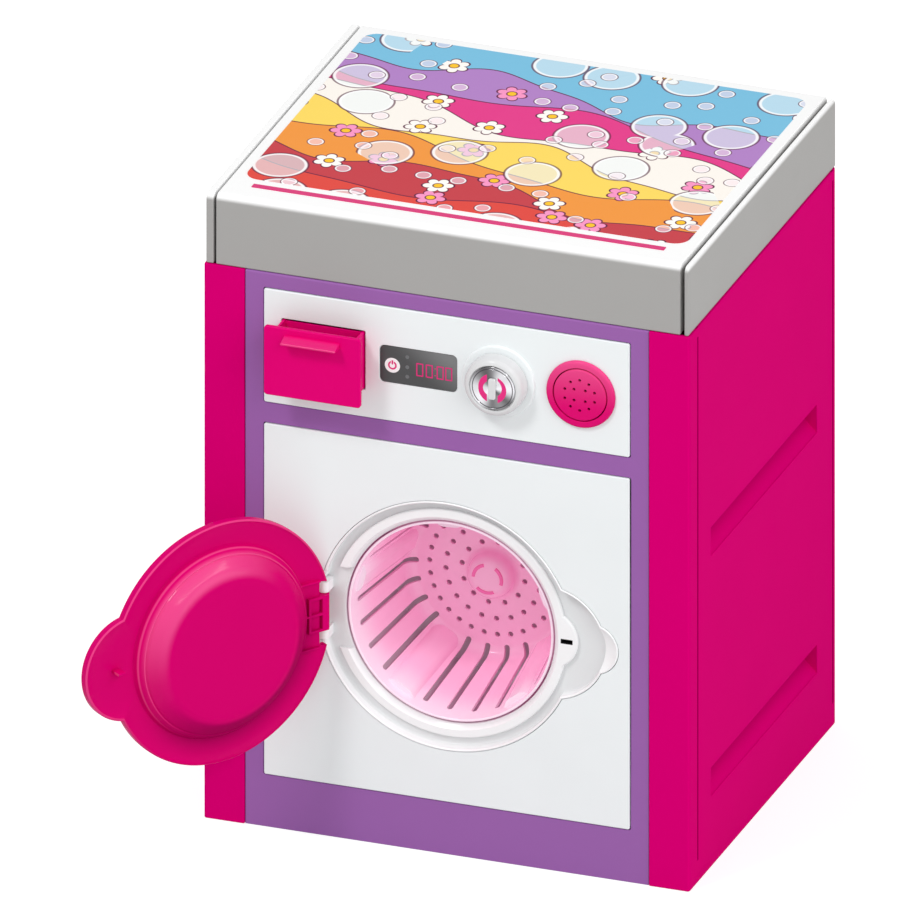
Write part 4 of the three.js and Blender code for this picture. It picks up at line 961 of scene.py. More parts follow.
class Form:
    """A shape in the making: a bmesh in millimetres, changed by Blender's mesh operators."""

    def __init__(self) -> None:
        """Starts with no faces."""
        self.mesh = bmesh.new()

    @classmethod
    def block(cls, low: Point, high: Point, rounding: float = 0.0, steps: int = 3) -> "Form":
        """A box between two corners.

        Args:
            low: Its lowest corner.
            high: Its highest corner.
            rounding: Radius of all its edges.
            steps: Faces across a rounded edge.

        Returns:
            The box.
        """
        form = cls()
        low, high = Vector(low), Vector(high)
        size = Matrix.Diagonal((*(high - low), 1))
        place = Matrix.Translation((low + high) / 2) @ size
        bmesh.ops.create_cube(form.mesh, size=1, matrix=place)
        if rounding:
            form.round_edges(rounding, steps)
        return form

    @classmethod
    def prism(
        cls,
        corners: Sequence[Point],
        reach: Point,
        roundings: Sequence[float] | float = 0.0,
        steps: int = 6,
    ) -> "Form":
        """A flat outline drawn out along a line.

        Args:
            corners: The outline's corners in order.
            reach: How far and which way the outline is drawn out.
            roundings: Radius at each corner, or one radius for all.
            steps: Faces across a rounded corner.

        Returns:
            The prism.
        """
        form = cls()
        mesh = form.mesh
        verts = [mesh.verts.new(corner) for corner in corners]
        mesh.faces.new(verts)
        if isinstance(roundings, (int, float)):
            roundings = [roundings] * len(verts)
        for vert, radius in zip(verts, roundings):
            if radius:
                form.bevel([vert], radius, steps, "VERTICES")
        drawn = bmesh.ops.extrude_face_region(mesh, geom=mesh.faces[:])
        moved = [item for item in drawn["geom"] if isinstance(item, bmesh.types.BMVert)]
        bmesh.ops.translate(mesh, verts=moved, vec=Vector(reach))
        bmesh.ops.recalc_face_normals(mesh, faces=mesh.faces[:])
        return form

    @classmethod
    def slab(
        cls, size: Pair, centre: Pair, near: float, far: float, corner: float = 0.0, steps: int = 6
    ) -> "Form":
        """An upright plate that faces the front, with round corners.

        Args:
            size: Its width and height.
            centre: Its middle's x and z.
            near: Depth of its front face.
            far: Depth of its back face.
            corner: Radius of its corners.
            steps: Faces across a corner.

        Returns:
            The plate.
        """
        x0, x1 = centre[0] - size[0] / 2, centre[0] + size[0] / 2
        z0, z1 = centre[1] - size[1] / 2, centre[1] + size[1] / 2
        corners = [(x0, near, z0), (x1, near, z0), (x1, near, z1), (x0, near, z1)]
        return cls.prism(corners, (0, far - near, 0), corner, steps)

    @classmethod
    def disc(
        cls,
        radius: float,
        near: float,
        far: float,
        rounding: float = 0.0,
        centre: Pair = (0.0, 0.0),
        steps: int = 128,
    ) -> "Form":
        """A round plate that faces the front.

        Args:
            radius: Its radius.
            near: Depth of its front face.
            far: Depth of its back face.
            rounding: Radius of its front edge.
            centre: Its middle's x and z.
            steps: Faces round it.

        Returns:
            The plate.
        """
        return cls.lathe([(radius, near, rounding), (radius, far, 0)], steps, centre)

    @classmethod
    def lathe(
        cls,
        outline: Sequence[Corner],
        steps: int = 96,
        centre: Pair = (0.0, 0.0),
        closed: bool = False,
        softness: int = 4,
    ) -> "Form":
        """Spins an outline round an axis that points into the case.

        Args:
            outline: Radius, depth and rounding of each corner.
            steps: Faces round the axis.
            centre: The axis's x and z.
            closed: Whether the ends join each other; otherwise both are led to the axis.
            softness: Faces across a rounded corner.

        Returns:
            The turned form.
        """
        form = cls()
        mesh = form.mesh
        if not closed:
            outline = [(0, outline[0][1], 0), *outline, (0, outline[-1][1], 0)]
        verts = [mesh.verts.new((radius, depth, 0)) for radius, depth, _ in outline]
        pairs = list(zip(verts, verts[1:]))
        if closed:
            pairs.append((verts[-1], verts[0]))
        for first, second in pairs:
            mesh.edges.new((first, second))
        for vert, (_, _, rounding) in zip(verts, outline):
            if rounding:
                form.bevel([vert], rounding, softness, "VERTICES")
        bmesh.ops.spin(
            mesh,
            geom=mesh.verts[:] + mesh.edges[:],
            cent=(0, 0, 0),
            axis=(0, 1, 0),
            angle=math.tau,
            steps=steps,
            use_merge=True,
        )
        bmesh.ops.remove_doubles(mesh, verts=mesh.verts[:], dist=TINY)
        bmesh.ops.recalc_face_normals(mesh, faces=mesh.faces[:])
        return form.move((centre[0], 0, centre[1]))

    @classmethod
    def pin(
        cls, radius: float, start: Point, end: Point, sides: int = 32, rounding: float = 0.0
    ) -> "Form":
        """A round bar between two points.

        Args:
            radius: Its radius.
            start: The middle of one end.
            end: The middle of the other.
            sides: Faces round it.
            rounding: Radius of its end edges.

        Returns:
            The bar.
        """
        form = cls()
        start, end = Vector(start), Vector(end)
        along = end - start
        turn = along.to_track_quat("Z", "Y").to_matrix().to_4x4()
        place = Matrix.Translation((start + end) / 2) @ turn
        bmesh.ops.create_cone(
            form.mesh,
            cap_ends=True,
            segments=sides,
            radius1=radius,
            radius2=radius,
            depth=along.length,
            matrix=place,
        )
        if rounding:
            form.round_edges(rounding, 3, lambda edge: any(
                len(face.verts) > 4 for face in edge.link_faces
            ))
        return form

    @classmethod
    def rod(cls, radius: float, centre: Pair, start: float, end: float, sides: int = 32) -> "Form":
        """A round bar that points into the case."""
        x, z = centre
        return cls.pin(radius, (x, start, z), (x, end, z), sides)

    @classmethod
    def ball(cls, radius: float, centre: Point, rings: int) -> "Form":
        """A ball.

        Args:
            radius: Its radius.
            centre: Its middle.
            rings: Rows of faces.

        Returns:
            The ball.
        """
        form = cls()
        bmesh.ops.create_uvsphere(
            form.mesh,
            u_segments=2 * rings,
            v_segments=rings,
            radius=radius,
            matrix=Matrix.Translation(Vector(centre)),
        )
        return form

    def bevel(self, parts: Iterable[object], radius: float, steps: int, affect: str) -> None:
        """Rounds edges or corners with the bevel operator.

        Args:
            parts: The edges or corners.
            radius: The rounding's radius.
            steps: Faces across it.
            affect: EDGES or VERTICES.
        """
        bmesh.ops.bevel(
            self.mesh,
            geom=list(parts),
            offset=radius,
            offset_type="OFFSET",
            affect=affect,
            segments=steps,
            profile=0.5,
            material=-1,
            clamp_overlap=True,
        )

    def round_edges(
        self,
        radius: float,
        steps: int = 3,
        chosen: Callable[[bmesh.types.BMEdge], bool] | None = None,
        least_angle: float = 30.0,
    ) -> "Form":
        """Rounds the sharp edges that a test picks.

        Args:
            radius: The rounding's radius.
            steps: Faces across it.
            chosen: The test; every sharp edge by default.
            least_angle: Edges flatter than this many degrees are left.

        Returns:
            This form.
        """
        sharp = [
            edge for edge in self.mesh.edges
            if edge.is_manifold and edge.calc_face_angle() > math.radians(least_angle)
        ]
        picked = [edge for edge in sharp if chosen is None or chosen(edge)]
        self.bevel(picked, radius, steps, "EDGES")
        return self

    def round_front(self, radius: float, steps: int, near: float) -> "Form":
        """Rounds the edges of the front face.

        Args:
            radius: The rounding's radius.
            steps: Faces across it.
            near: The face's depth.

        Returns:
            This form.
        """
        return self.round_edges(radius, steps, lambda edge: all(
            vert.co.y < near + 0.01 for vert in edge.verts
        ))

    def move(self, way: Point) -> "Form":
        """Shifts the whole form."""
        bmesh.ops.translate(self.mesh, verts=self.mesh.verts[:], vec=Vector(way))
        return self

    def turn(self, degrees: float, axis: str, about: Point = (0, 0, 0)) -> "Form":
        """Turns the whole form about an axis through a point.

        Args:
            degrees: Angle by the right-hand rule.
            axis: X, Y or Z.
            about: The point.

        Returns:
            This form.
        """
        spin = Matrix.Rotation(math.radians(degrees), 3, axis)
        bmesh.ops.rotate(self.mesh, verts=self.mesh.verts[:], cent=Vector(about), matrix=spin)
        return self

    def with_loose(self, *others: "Form") -> "Form":
        """Adds other forms beside this one, unjoined.

        Args:
            others: The other forms.

        Returns:
            This form.
        """
        for other in others:
            data = bpy.data.meshes.new("loose")
            other.mesh.to_mesh(data)
            self.mesh.from_mesh(data)
            bpy.data.meshes.remove(data)
        return self

    def combine(self, how: Boolean, *others: "Form") -> "Form":
        """Joins, cuts or keeps what is common with other forms.

        Args:
            how: Join, cut or keep.
            others: The forms that change this one.

        Returns:
            This form.
        """
        for other in others:
            objects = []
            for form in (self, other):
                data = bpy.data.meshes.new("work")
                form.mesh.to_mesh(data)
                objects.append(placed("work", data))
            modifier = objects[0].modifiers.new("work", "BOOLEAN")
            modifier.operation = how.value
            modifier.object = objects[1]
            for solver in ("MANIFOLD", "EXACT"):
                modifier.solver = solver
                data = evaluated(objects[0])
                if len(data.polygons):
                    break
            self.mesh.clear()
            self.mesh.from_mesh(data)
            bpy.data.meshes.remove(data)
            for thing in objects:
                held = thing.data
                bpy.data.objects.remove(thing)
                bpy.data.meshes.remove(held)
        return self

    def join(self, *others: "Form") -> "Form":
        """Adds other forms to this one."""
        return self.combine(Boolean.JOIN, *others)

    def cut(self, *others: "Form") -> "Form":
        """Takes other forms away from this one."""
        return self.combine(Boolean.CUT, *others)

    def keep(self, other: "Form") -> "Form":
        """Keeps what this form shares with another."""
        return self.combine(Boolean.KEEP, other)

    def show(
        self,
        name: str,
        finish: str,
        replaces: Sequence[str] = (),
        body: Body = Body.CASE,
        edge: float = 0.0,
    ) -> bpy.types.Object:
        """Makes the finished piece.

        Args:
            name: The piece's name.
            finish: Its finish.
            replaces: The CAD nodes that it stands for.
            body: The body that it rides on.
            edge: Radius given to its remaining sharp edges.

        Returns:
            The object.
        """
        self.move((0, FRONT, 0))
        bmesh.ops.scale(self.mesh, verts=self.mesh.verts[:], vec=(MILLI, MILLI, MILLI))
        data = bpy.data.meshes.new(name)
        self.mesh.to_mesh(data)
        self.mesh.free()
        piece = placed(name, data)
        if edge:
            rounder = piece.modifiers.new("edges", "BEVEL")
            rounder.width = edge * MILLI
            rounder.segments = 3
            rounder.limit_method = "ANGLE"
            rounder.angle_limit = math.radians(EDGE_ANGLE)
            rounder.use_clamp_overlap = False
            settled(piece)
        for face in piece.data.polygons:
            face.use_smooth = True
        piece.data.set_sharp_from_angle(angle=math.radians(SMOOTH_ANGLE))
        weigher = piece.modifiers.new("normals", "WEIGHTED_NORMAL")
        weigher.keep_sharp = True
        settled(piece)
        piece.data.materials.append(material(finish))
        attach(piece, body.value)
        if replaces:
            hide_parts(*replaces)
        LOG.info("%s: %d faces on %s", name, len(piece.data.polygons), body.value)
        return piece


def placed(name: str, data: bpy.types.ID) -> bpy.types.Object:
    """Makes an object of some data and links it to the scene.

    Args:
        name: The object's name.
        data: Its mesh, camera or light.

    Returns:
        The object.
    """
    made = bpy.data.objects.new(name, data)
    bpy.context.scene.collection.objects.link(made)
    return made


def evaluated(piece: bpy.types.Object) -> bpy.types.Mesh:
    """A new mesh of what a piece's modifiers make of it."""
    depsgraph = bpy.context.evaluated_depsgraph_get()
    return bpy.data.meshes.new_from_object(piece.evaluated_get(depsgraph))


def ring_places(rings: Sequence[Ring]) -> Iterator[Pair]:
    """The places of holes in rings.

    Args:
        rings: Radius, count and the first hole's degrees of each ring.

    Returns:
        Each hole's x and z.
    """
    for radius, count, first in rings:
        for index in range(count):
            angle = math.radians(first + index * 360 / count)
            yield radius * math.cos(angle), radius * math.sin(angle)


def settled(piece: bpy.types.Object) -> None:
    """Turns a piece's modifiers into its mesh.

    Args:
        piece: The object.
    """
    data = evaluated(piece)
    old = piece.data
    piece.modifiers.clear()
    piece.data = data
    bpy.data.meshes.remove(old)
    data.name = piece.name


SMOOTH = {"grain_height": 0.001, "scuffs": 0.1}
FINISHES: dict[str, Finish] = {
    # Painted shade in the side grooves and grips.
    "pink": GroovedPlastic("pink_shell", (218, 0, 115), 0.42, 0.001),
    # Painted highlight and painted shade on the door's dish.
    "door_pink": PolishedDish(
        "pink_door", (215, 0, 109), 0.2, 0.02, grain_height=0.001, scuffs=0.0
    ),
    "drawer_pink": MouldedPlastic("pink_drawer", (228, 0, 116), 0.26, 0.03, **SMOOTH),
    # A slightly lighter copy of the drawer's pink: painted light on the lip.
    "lip_pink": MouldedPlastic("pink_lip", (232, 4, 120), 0.3, 0.5, **SMOOTH),
    # Painted light towards the button's top.
    "button_pink": PaintedTopLightPlastic("pink_button", (220, 0, 110), 0.24, 0.06, **SMOOTH),
    "purple": MouldedPlastic("purple_frame", (155, 100, 171), 0.36, 0.08),
    "white": MouldedPlastic("white_fascia", (241, 246, 247), 0.3, 0.15),
    # A greyer copy of the fascia's white: painted shade on the knob.
    "knob_white": MouldedPlastic("white_knob", (222, 223, 224), 0.22, 0.25, **SMOOTH),
    # Painted shade in the ring's channel.
    "ring_white": RecessedPlastic("white_ring", (247, 248, 249), 0.22, 0.25, **SMOOTH),
    # White top, painted shade on the upright sides.
    "cap": SideShadePlastic("cap_side_shade", (247, 247, 247), 0.38, 0.04),
    # The drum and its hub marks: painted glow, and painted light towards the mouth.
    "drum": TintedPlastic("pink_drum", (248, 200, 227), 0.16, 0.35, 0.1, **SMOOTH),
    "drum_mark": TintedPlastic("pink_drum_mark", (240, 110, 176), 0.2, 0.3, **SMOOTH),
    "tub": MouldedPlastic("grey_tub", (232, 236, 238), 0.45, 0.1),
    "grey": MouldedPlastic("grey_inner", (176, 180, 182), 0.45, 0.2),
    "black": MouldedPlastic("black_inner", (26, 26, 28), 0.5, 0.2),
    "acetal": MouldedPlastic("gear_acetal", (240, 238, 230), 0.4, 0.3),
    "stripe": MouldedPlastic("stripe_print", (216, 12, 112), 0.3, 0.2),
    "digits": MouldedPlastic("digit_print", (224, 44, 124), 0.3, 0.1),
    "bright": MouldedPlastic("white_print", (250, 250, 250), 0.3, 0.1),
    "lamp_print": MouldedPlastic("lamp_print", (112, 114, 116), 0.35, 0.1),
    "steel": Metal("zinc_steel", (200, 202, 206), 0.3),
    "brass": Metal("turned_brass", (214, 178, 96), 0.3),
    "chrome": SpunChrome("spun_chrome"),
    "display": DisplayPanel("display_panel"),
    "board": BoardMask("board_mask"),
    "cell": CellSleeve("cell_sleeve"),
    "picture": WashdayPrint("washday_print"),
}


@cache
def material(finish: str) -> bpy.types.Material:
    """A finish's material, built on first use."""
    return FINISHES[finish].build()


@dataclass
class CaseShell:
    """The pink side panels and the purple front frame."""

    half_width: float = 150.0
    depth: float = 252.0
    height: float = 355.0
    wall: float = 3.0
    front_strip: float = 25.0
    back_strip: float = 11.0
    front_radius: float = 1.5
    back_radius: float = 6.0
    grip_depths: Pair = (37.0, 217.0)
    grip_heights: Pair = (54.4, 208.3)
    grip_height: float = 18.0
    grip_inward: float = 15.0
    grip_wall: float = 2.5
    grip_slope: float = 14.4
    groove_depths: Pair = (14.8, 243.9)
    groove_width: float = 2.2
    groove_inward: float = 1.2
    groove_heights: Pair = (14.0, 349.0)
    post_heights: Pair = (30.0, 325.0)
    post_depths: Pair = (225.4, 245.4)
    post_inner: float = 126.0
    post_half: float = 6.0
    frame_half: float = 124.7
    frame_near: float = 0.8
    frame_far: float = 3.8
    frame_bevel: float = 1.5
    opening_corner: float = 1.2
    frame_rib: Pair = (115.7, 133.7)
    frame_rib_depths: Pair = (3.3, 6.3)

    def side_panel(self, side: Side) -> Form:
        """One side panel with its front and back strips, grips, grooves and screw posts.

        Args:
            side: Left or right.

        Returns:
            The panel.
        """
        edge = self.half_width
        inner = edge - self.wall
        outline = [
            (edge - self.front_strip, 0), (edge, 0), (edge, self.depth),
            (edge - self.back_strip, self.depth),
            (edge - self.back_strip, self.depth - self.wall),
            (inner, self.depth - self.wall), (inner, self.wall),
            (edge - self.front_strip, self.wall),
        ]
        roundings = [0, self.front_radius, self.back_radius, 0, 0, 0, 0, 0]
        corners = [(side.value * x, depth, 0) for x, depth in outline]
        panel = Form.prism(corners, (0, 0, self.height), roundings)
        near, far = self.grip_depths
        for middle in self.grip_heights:
            low, high = middle - self.grip_height / 2, middle + self.grip_height / 2
            x0, x1 = side.span(edge - self.grip_inward - self.grip_wall, inner + 1)
            pocket = Form.block(
                (x0, near - self.grip_wall, low - self.grip_wall),
                (x1, far + self.grip_wall, high + self.grip_wall),
            )
            x0, x1 = side.span(edge - self.grip_inward, edge + 1)
            hollow = Form.block((x0, near, low), (x1, far, high))
            hollow.round_edges(self.grip_slope, 1, lambda rim: all(
                abs(vert.co.x) < edge and vert.co.z < low + 0.1 for vert in rim.verts
            ))
            panel.join(pocket).cut(hollow)
        for depth in self.groove_depths:
            x0, x1 = side.span(edge - self.groove_inward, edge + 1)
            panel.cut(Form.block(
                (x0, depth - self.groove_width / 2, self.groove_heights[0]),
                (x1, depth + self.groove_width / 2, self.groove_heights[1]),
            ))
        for height in self.post_heights:
            x0, x1 = side.span(self.post_inner, inner + 1)
            low, high = height - self.post_half, height + self.post_half
            panel.join(Form.block((x0, self.post_depths[0], low), (x1, self.post_depths[1], high)))
        return panel

    def front_frame(self) -> Form:
        """The purple frame with its two openings and a bevelled top edge.

        Returns:
            The frame.
        """
        half = self.frame_half
        plate = Form.block((-half, self.frame_near, 0), (half, self.frame_far, self.height))
        for side in Side:
            x0, x1 = side.span(*self.frame_rib)
            near, far = self.frame_rib_depths
            plate.join(Form.block((x0, near, 0), (x1, far, self.height)))
        for node in ("control_fascia", "door_fascia"):
            z0, z1 = fascia_heights(node)
            size = (2 * FASCIA_HALF, z1 - z0)
            plate.cut(Form.slab(size, (0, (z0 + z1) / 2), -1, 8, self.opening_corner))
        plate.round_edges(self.frame_bevel, 3, lambda edge: all(
            vert.co.y < self.frame_near + 0.1 and vert.co.z > self.height - 0.1
            for vert in edge.verts
        ))
        return plate

    def build(self) -> None:
        """Shows the panels and the frame."""
        for side in Side:
            name = side.name.lower()
            panel = self.side_panel(side)
            panel.show(f"side_shell_{name}", "pink", [f"side_panel_{name}"], edge=0.5)
        self.front_frame().show("purple_surround", "purple", ["front_frame"], edge=0.4)


def fascia_heights(node: str) -> Pair:
    """The lower and upper height of the frame's opening round a fascia's CAD node."""
    span = Span.of(node)
    return span.low.z + OPENING_INSET, span.high.z - OPENING_INSET


@dataclass
class Fascias:
    """The white control fascia and the white door fascia."""

    gap: float = 0.5
    corner: float = 1.2
    face_rounding: float = 0.7
    flange_reach: float = 1.4
    wall: float = 2.5
    back: float = 6.1
    flange_near: float = 4.1
    drawer_slot: Pair = (51.9, 37.7)
    display_size: Pair = (48.0, 23.8)
    display_corner: float = 3.2
    display_recess: float = 0.8
    collar_radius: float = 22.5
    collar_proud: float = 1.5
    collar_rounding: float = 1.1
    sleeve_radius: float = 18.7
    slot_corner: float = 0.8
    switch_bore: float = 5.3
    board_depth: float = 21.7
    board_middle: float = 31.75
    post_reach: Pair = (69.0, 22.0)
    post_radius: float = 3.0
    ring_gap: float = 0.3
    side_wall: float = 2.0

    def shell(self, node: str) -> Form:
        """The plain shell of a fascia's CAD node: face, return and flange.

        Args:
            node: The CAD node.

        Returns:
            The shell.
        """
        z0, z1 = fascia_heights(node)
        middle = (0.0, (z0 + z1) / 2)
        width = 2 * (FASCIA_HALF - self.gap)
        height = z1 - z0 - 2 * self.gap
        face = Form.slab((width, height), middle, 0, self.back, self.corner, 8)
        face.round_front(self.face_rounding, 4, 0.0)
        flange = Form.slab(
            (width + self.flange_reach, height + self.flange_reach), middle,
            self.flange_near, self.back, self.corner,
        )
        walls = 2 * self.side_wall
        size = (width - walls, height - walls)
        hollow = Form.slab(size, middle, self.wall, self.back + 3, self.corner)
        return face.join(flange).cut(hollow)

    def control(self) -> Form:
        """The control fascia with its openings and the knob's collar.

        Returns:
            The fascia.
        """
        drawer, display, knob, sound = [
            (Span.of(node).centre.x, Span.of("knob").centre.z)
            for node in ("drawer", "display_label", "knob", "sound_button")
        ]
        collar = Form.disc(
            self.collar_radius, -self.collar_proud, 1, self.collar_rounding, knob, 96
        )
        panel = self.shell("control_fascia").join(collar)
        reach_x, reach_z = self.post_reach
        for x in (-reach_x, reach_x):
            for z in (-reach_z, reach_z):
                place = (self.board_middle + x, knob[1] + z)
                panel.join(Form.rod(self.post_radius, place, 1, self.board_depth))
        slot = Form.slab(self.drawer_slot, drawer, -2, 4, self.slot_corner, 3)
        recess = Form.slab(
            self.display_size, display, -2, self.display_recess, self.display_corner
        )
        bore = Form.rod(self.switch_bore, knob, -3, 4, 48)
        hole = Form.rod(self.sleeve_radius, sound, -3, 4, 96)
        return panel.cut(slot, recess, bore, hole)

    def build(self, porthole: "Porthole") -> None:
        """Shows both fascias, the door's with a cut-out for the porthole ring.

        Args:
            porthole: The ring that the door fascia goes round.
        """
        self.control().show("control_face", "white", ["control_fascia"], edge=0.35)
        outline = porthole.outline(porthole.wall + self.ring_gap, -2, 4)
        door = self.shell("door_fascia").cut(outline)
        door.show("door_face", "white", ["door_fascia"], edge=0.3)


@dataclass
class Porthole:
    """The white ring that the door closes into, with its hinge lugs and pin.

    The corners of seat_lip are measured from the seat's radius and the ring's front.
    """

    height: float = 146.25
    seat_radius: float = 77.8
    wall: float = 1.5
    proud: float = 0.5
    lip_rounding: float = 0.65
    seat_lip: tuple[Corner, ...] = ((2.25, -1.0, 0.0), (0.05, 0.55, 0.5))
    seat_rounding: float = 1.4
    floor: float = 6.5
    back: float = 9.0
    collar_top: float = 4.0
    collar_radius: float = 72.5
    collar_rounding: float = 1.2
    throat_radius: float = 64.5
    throat_profile: tuple[Corner, ...] = (
        (70.4, 0.0, 0.0), (67.8, 3.8, 1.2), (64.5, 6.6, 0.8), (64.5, 10.0, 0.0),
    )
    lobe_offset: float = 62.5
    lobe_radius: float = 34.6
    scoop_offset: float = 90.0
    scoop_radius: float = 14.5
    scoop_depth: float = 4.5
    recess_left: float = -80.4
    recess_half: float = 19.0
    nose_offset: float = 61.2
    nose_radius: float = 18.4
    break_half: float = 26.0
    slot_x: Pair = (69.0, 76.4)
    slot_half: float = 1.5
    # Wall of the black sleeve of painted shade in the latch slot.
    shade_sheet_wall: float = 0.3
    hinge_x: float = -75.0
    hinge_depth: float = -1.5
    lug_radius: float = 3.0
    lug_from: float = 11.6
    lug_to: float = 18.1
    pin_radius: float = 1.5
    pin_rounding: float = 0.4

    def rounds(self) -> list[Pair]:
        """Radius and x of the round parts of the outline.

        Returns:
            The list.
        """
        return [
            (self.seat_radius, 0.0),
            (self.lobe_radius, self.lobe_offset),
            (self.scoop_radius, self.scoop_offset),
        ]

    def outline(self, grow: float, near: float, far: float, rounding: float = 0.0) -> Form:
        """The lobed outline as a solid.

        Args:
            grow: How far it stands outside the seat's wall.
            near: Depth of its front.
            far: Depth of its back.
            rounding: Radius of its front edge.

        Returns:
            The solid.
        """
        solid: Form | None = None
        for radius, x in self.rounds():
            part = Form.disc(radius + grow, near, far, rounding, (x, self.height))
            solid = part if solid is None else solid.join(part)
        half = self.recess_half + grow
        box = Form.block(
            (self.recess_left - grow, near, self.height - half),
            (-self.throat_radius, far, self.height + half),
        )
        if rounding:
            box.round_front(rounding, 4, near)
        return solid.join(box)

    def seat_tools(self) -> list[Form]:
        """The hollows of the seat, lobe, scoop and hinge recess, with rounded lips.

        Returns:
            The cutters.
        """
        front = -self.proud
        tools = [
            Form.lathe(
                [*((radius + past, front + behind, soft) for past, behind, soft in self.seat_lip),
                 (radius, self.floor, self.seat_rounding)],
                128, (x, self.height),
            )
            for radius, x in self.rounds()[:2]
        ]
        ball_radius = (self.scoop_radius ** 2 + self.scoop_depth ** 2) / (2 * self.scoop_depth)
        tools.append(Form.ball(
            ball_radius,
            (self.scoop_offset, self.scoop_depth - ball_radius, self.height),
            48,
        ))
        tools.append(Form.block(
            (self.recess_left, front - 1, self.height - self.recess_half),
            (-self.throat_radius, self.floor, self.height + self.recess_half),
        ))
        return tools

    def collar(self) -> Form:
        """The raised collar round the drum's mouth, with the latch's nose.

        Returns:
            The collar.
        """
        top = self.collar_top
        ring = Form.disc(
            self.collar_radius, top, self.back, self.collar_rounding, (0, self.height)
        )
        nose = Form.disc(
            self.nose_radius, top, self.back, self.collar_rounding,
            (self.nose_offset, self.height), 96,
        )
        gap = Form.block(
            (-self.collar_radius - 2, top - 2, self.height - self.break_half),
            (0, self.floor, self.height + self.break_half),
        )
        return ring.join(nose).cut(gap)

    def throat(self) -> Form:
        """The hollow through the collar, with its sloping inner edge."""
        return Form.lathe(self.throat_profile, 128, (0, self.height))

    def upright(self, radius: float, low: float, high: float, rounding: float = 0.0) -> Form:
        """A round bar on the hinge's line, between two heights."""
        x, y = self.hinge_x, self.hinge_depth
        return Form.pin(radius, (x, y, low), (x, y, high), rounding=rounding)

    def lug(self, side: Side) -> Form:
        """A hinge lug above or below the knuckle.

        Args:
            side: Left for the lower, right for the upper.

        Returns:
            The lug.
        """
        low, high = [self.height + z for z in side.span(self.lug_from, self.lug_to)]
        nose = self.upright(self.lug_radius, low, high)
        stem = Form.block(
            (self.hinge_x - self.lug_radius, self.hinge_depth, low),
            (self.hinge_x + self.lug_radius, self.floor + 1, high),
        )
        return nose.join(stem).round_edges(0.5, 3, lambda edge: (
            abs(edge.verts[0].co.z - edge.verts[1].co.z) < TINY
        ))

    def ring(self) -> Form:
        """The whole ring.

        Returns:
            The ring.
        """
        body = self.outline(self.wall, -self.proud, self.back, self.lip_rounding)
        body.cut(*self.seat_tools())
        body.join(self.collar(), self.lug(Side.LEFT), self.lug(Side.RIGHT))
        bore = self.upright(self.pin_radius + 0.1, self.height - 25, self.height + 25)
        slot = Form.block(
            (self.slot_x[0], self.collar_top - 1, self.height - self.slot_half),
            (self.slot_x[1], self.back + 1, self.height + self.slot_half),
        )
        return body.cut(self.throat(), slot, bore)

    def slot_shade_sheet(self) -> Form:
        """A thin black sleeve in the latch slot: painted shade, a dark sheet set where there is
        only shade.

        Returns:
            The sleeve.
        """
        near, far = self.collar_top - 0.05, self.back - 0.5
        x0, x1 = self.slot_x
        gap, wall = 0.02, self.shade_sheet_wall
        half = self.slot_half - gap
        sleeve = Form.block(
            (x0 + gap, near, self.height - half), (x1 - gap, far, self.height + half)
        )
        return sleeve.cut(Form.block(
            (x0 + gap + wall, near - 1, self.height - half + wall),
            (x1 - gap - wall, far + 1, self.height + half - wall),
        ))

    def build(self) -> None:
        """Shows the ring, the hinge pin and the black sleeve of painted shade in the latch slot.
        """
        self.ring().show("porthole_surround", "ring_white", ["porthole_ring"])
        low, high = self.height - self.lug_to, self.height + self.lug_to
        pin = self.upright(self.pin_radius, low, high, self.pin_rounding)
        pin.show("door_hinge_pin", "steel", ["hinge_pin"])
        # Black sleeve of painted shade in the latch slot.
        self.slot_shade_sheet().show("latch_slot_shade_sheet", "black")


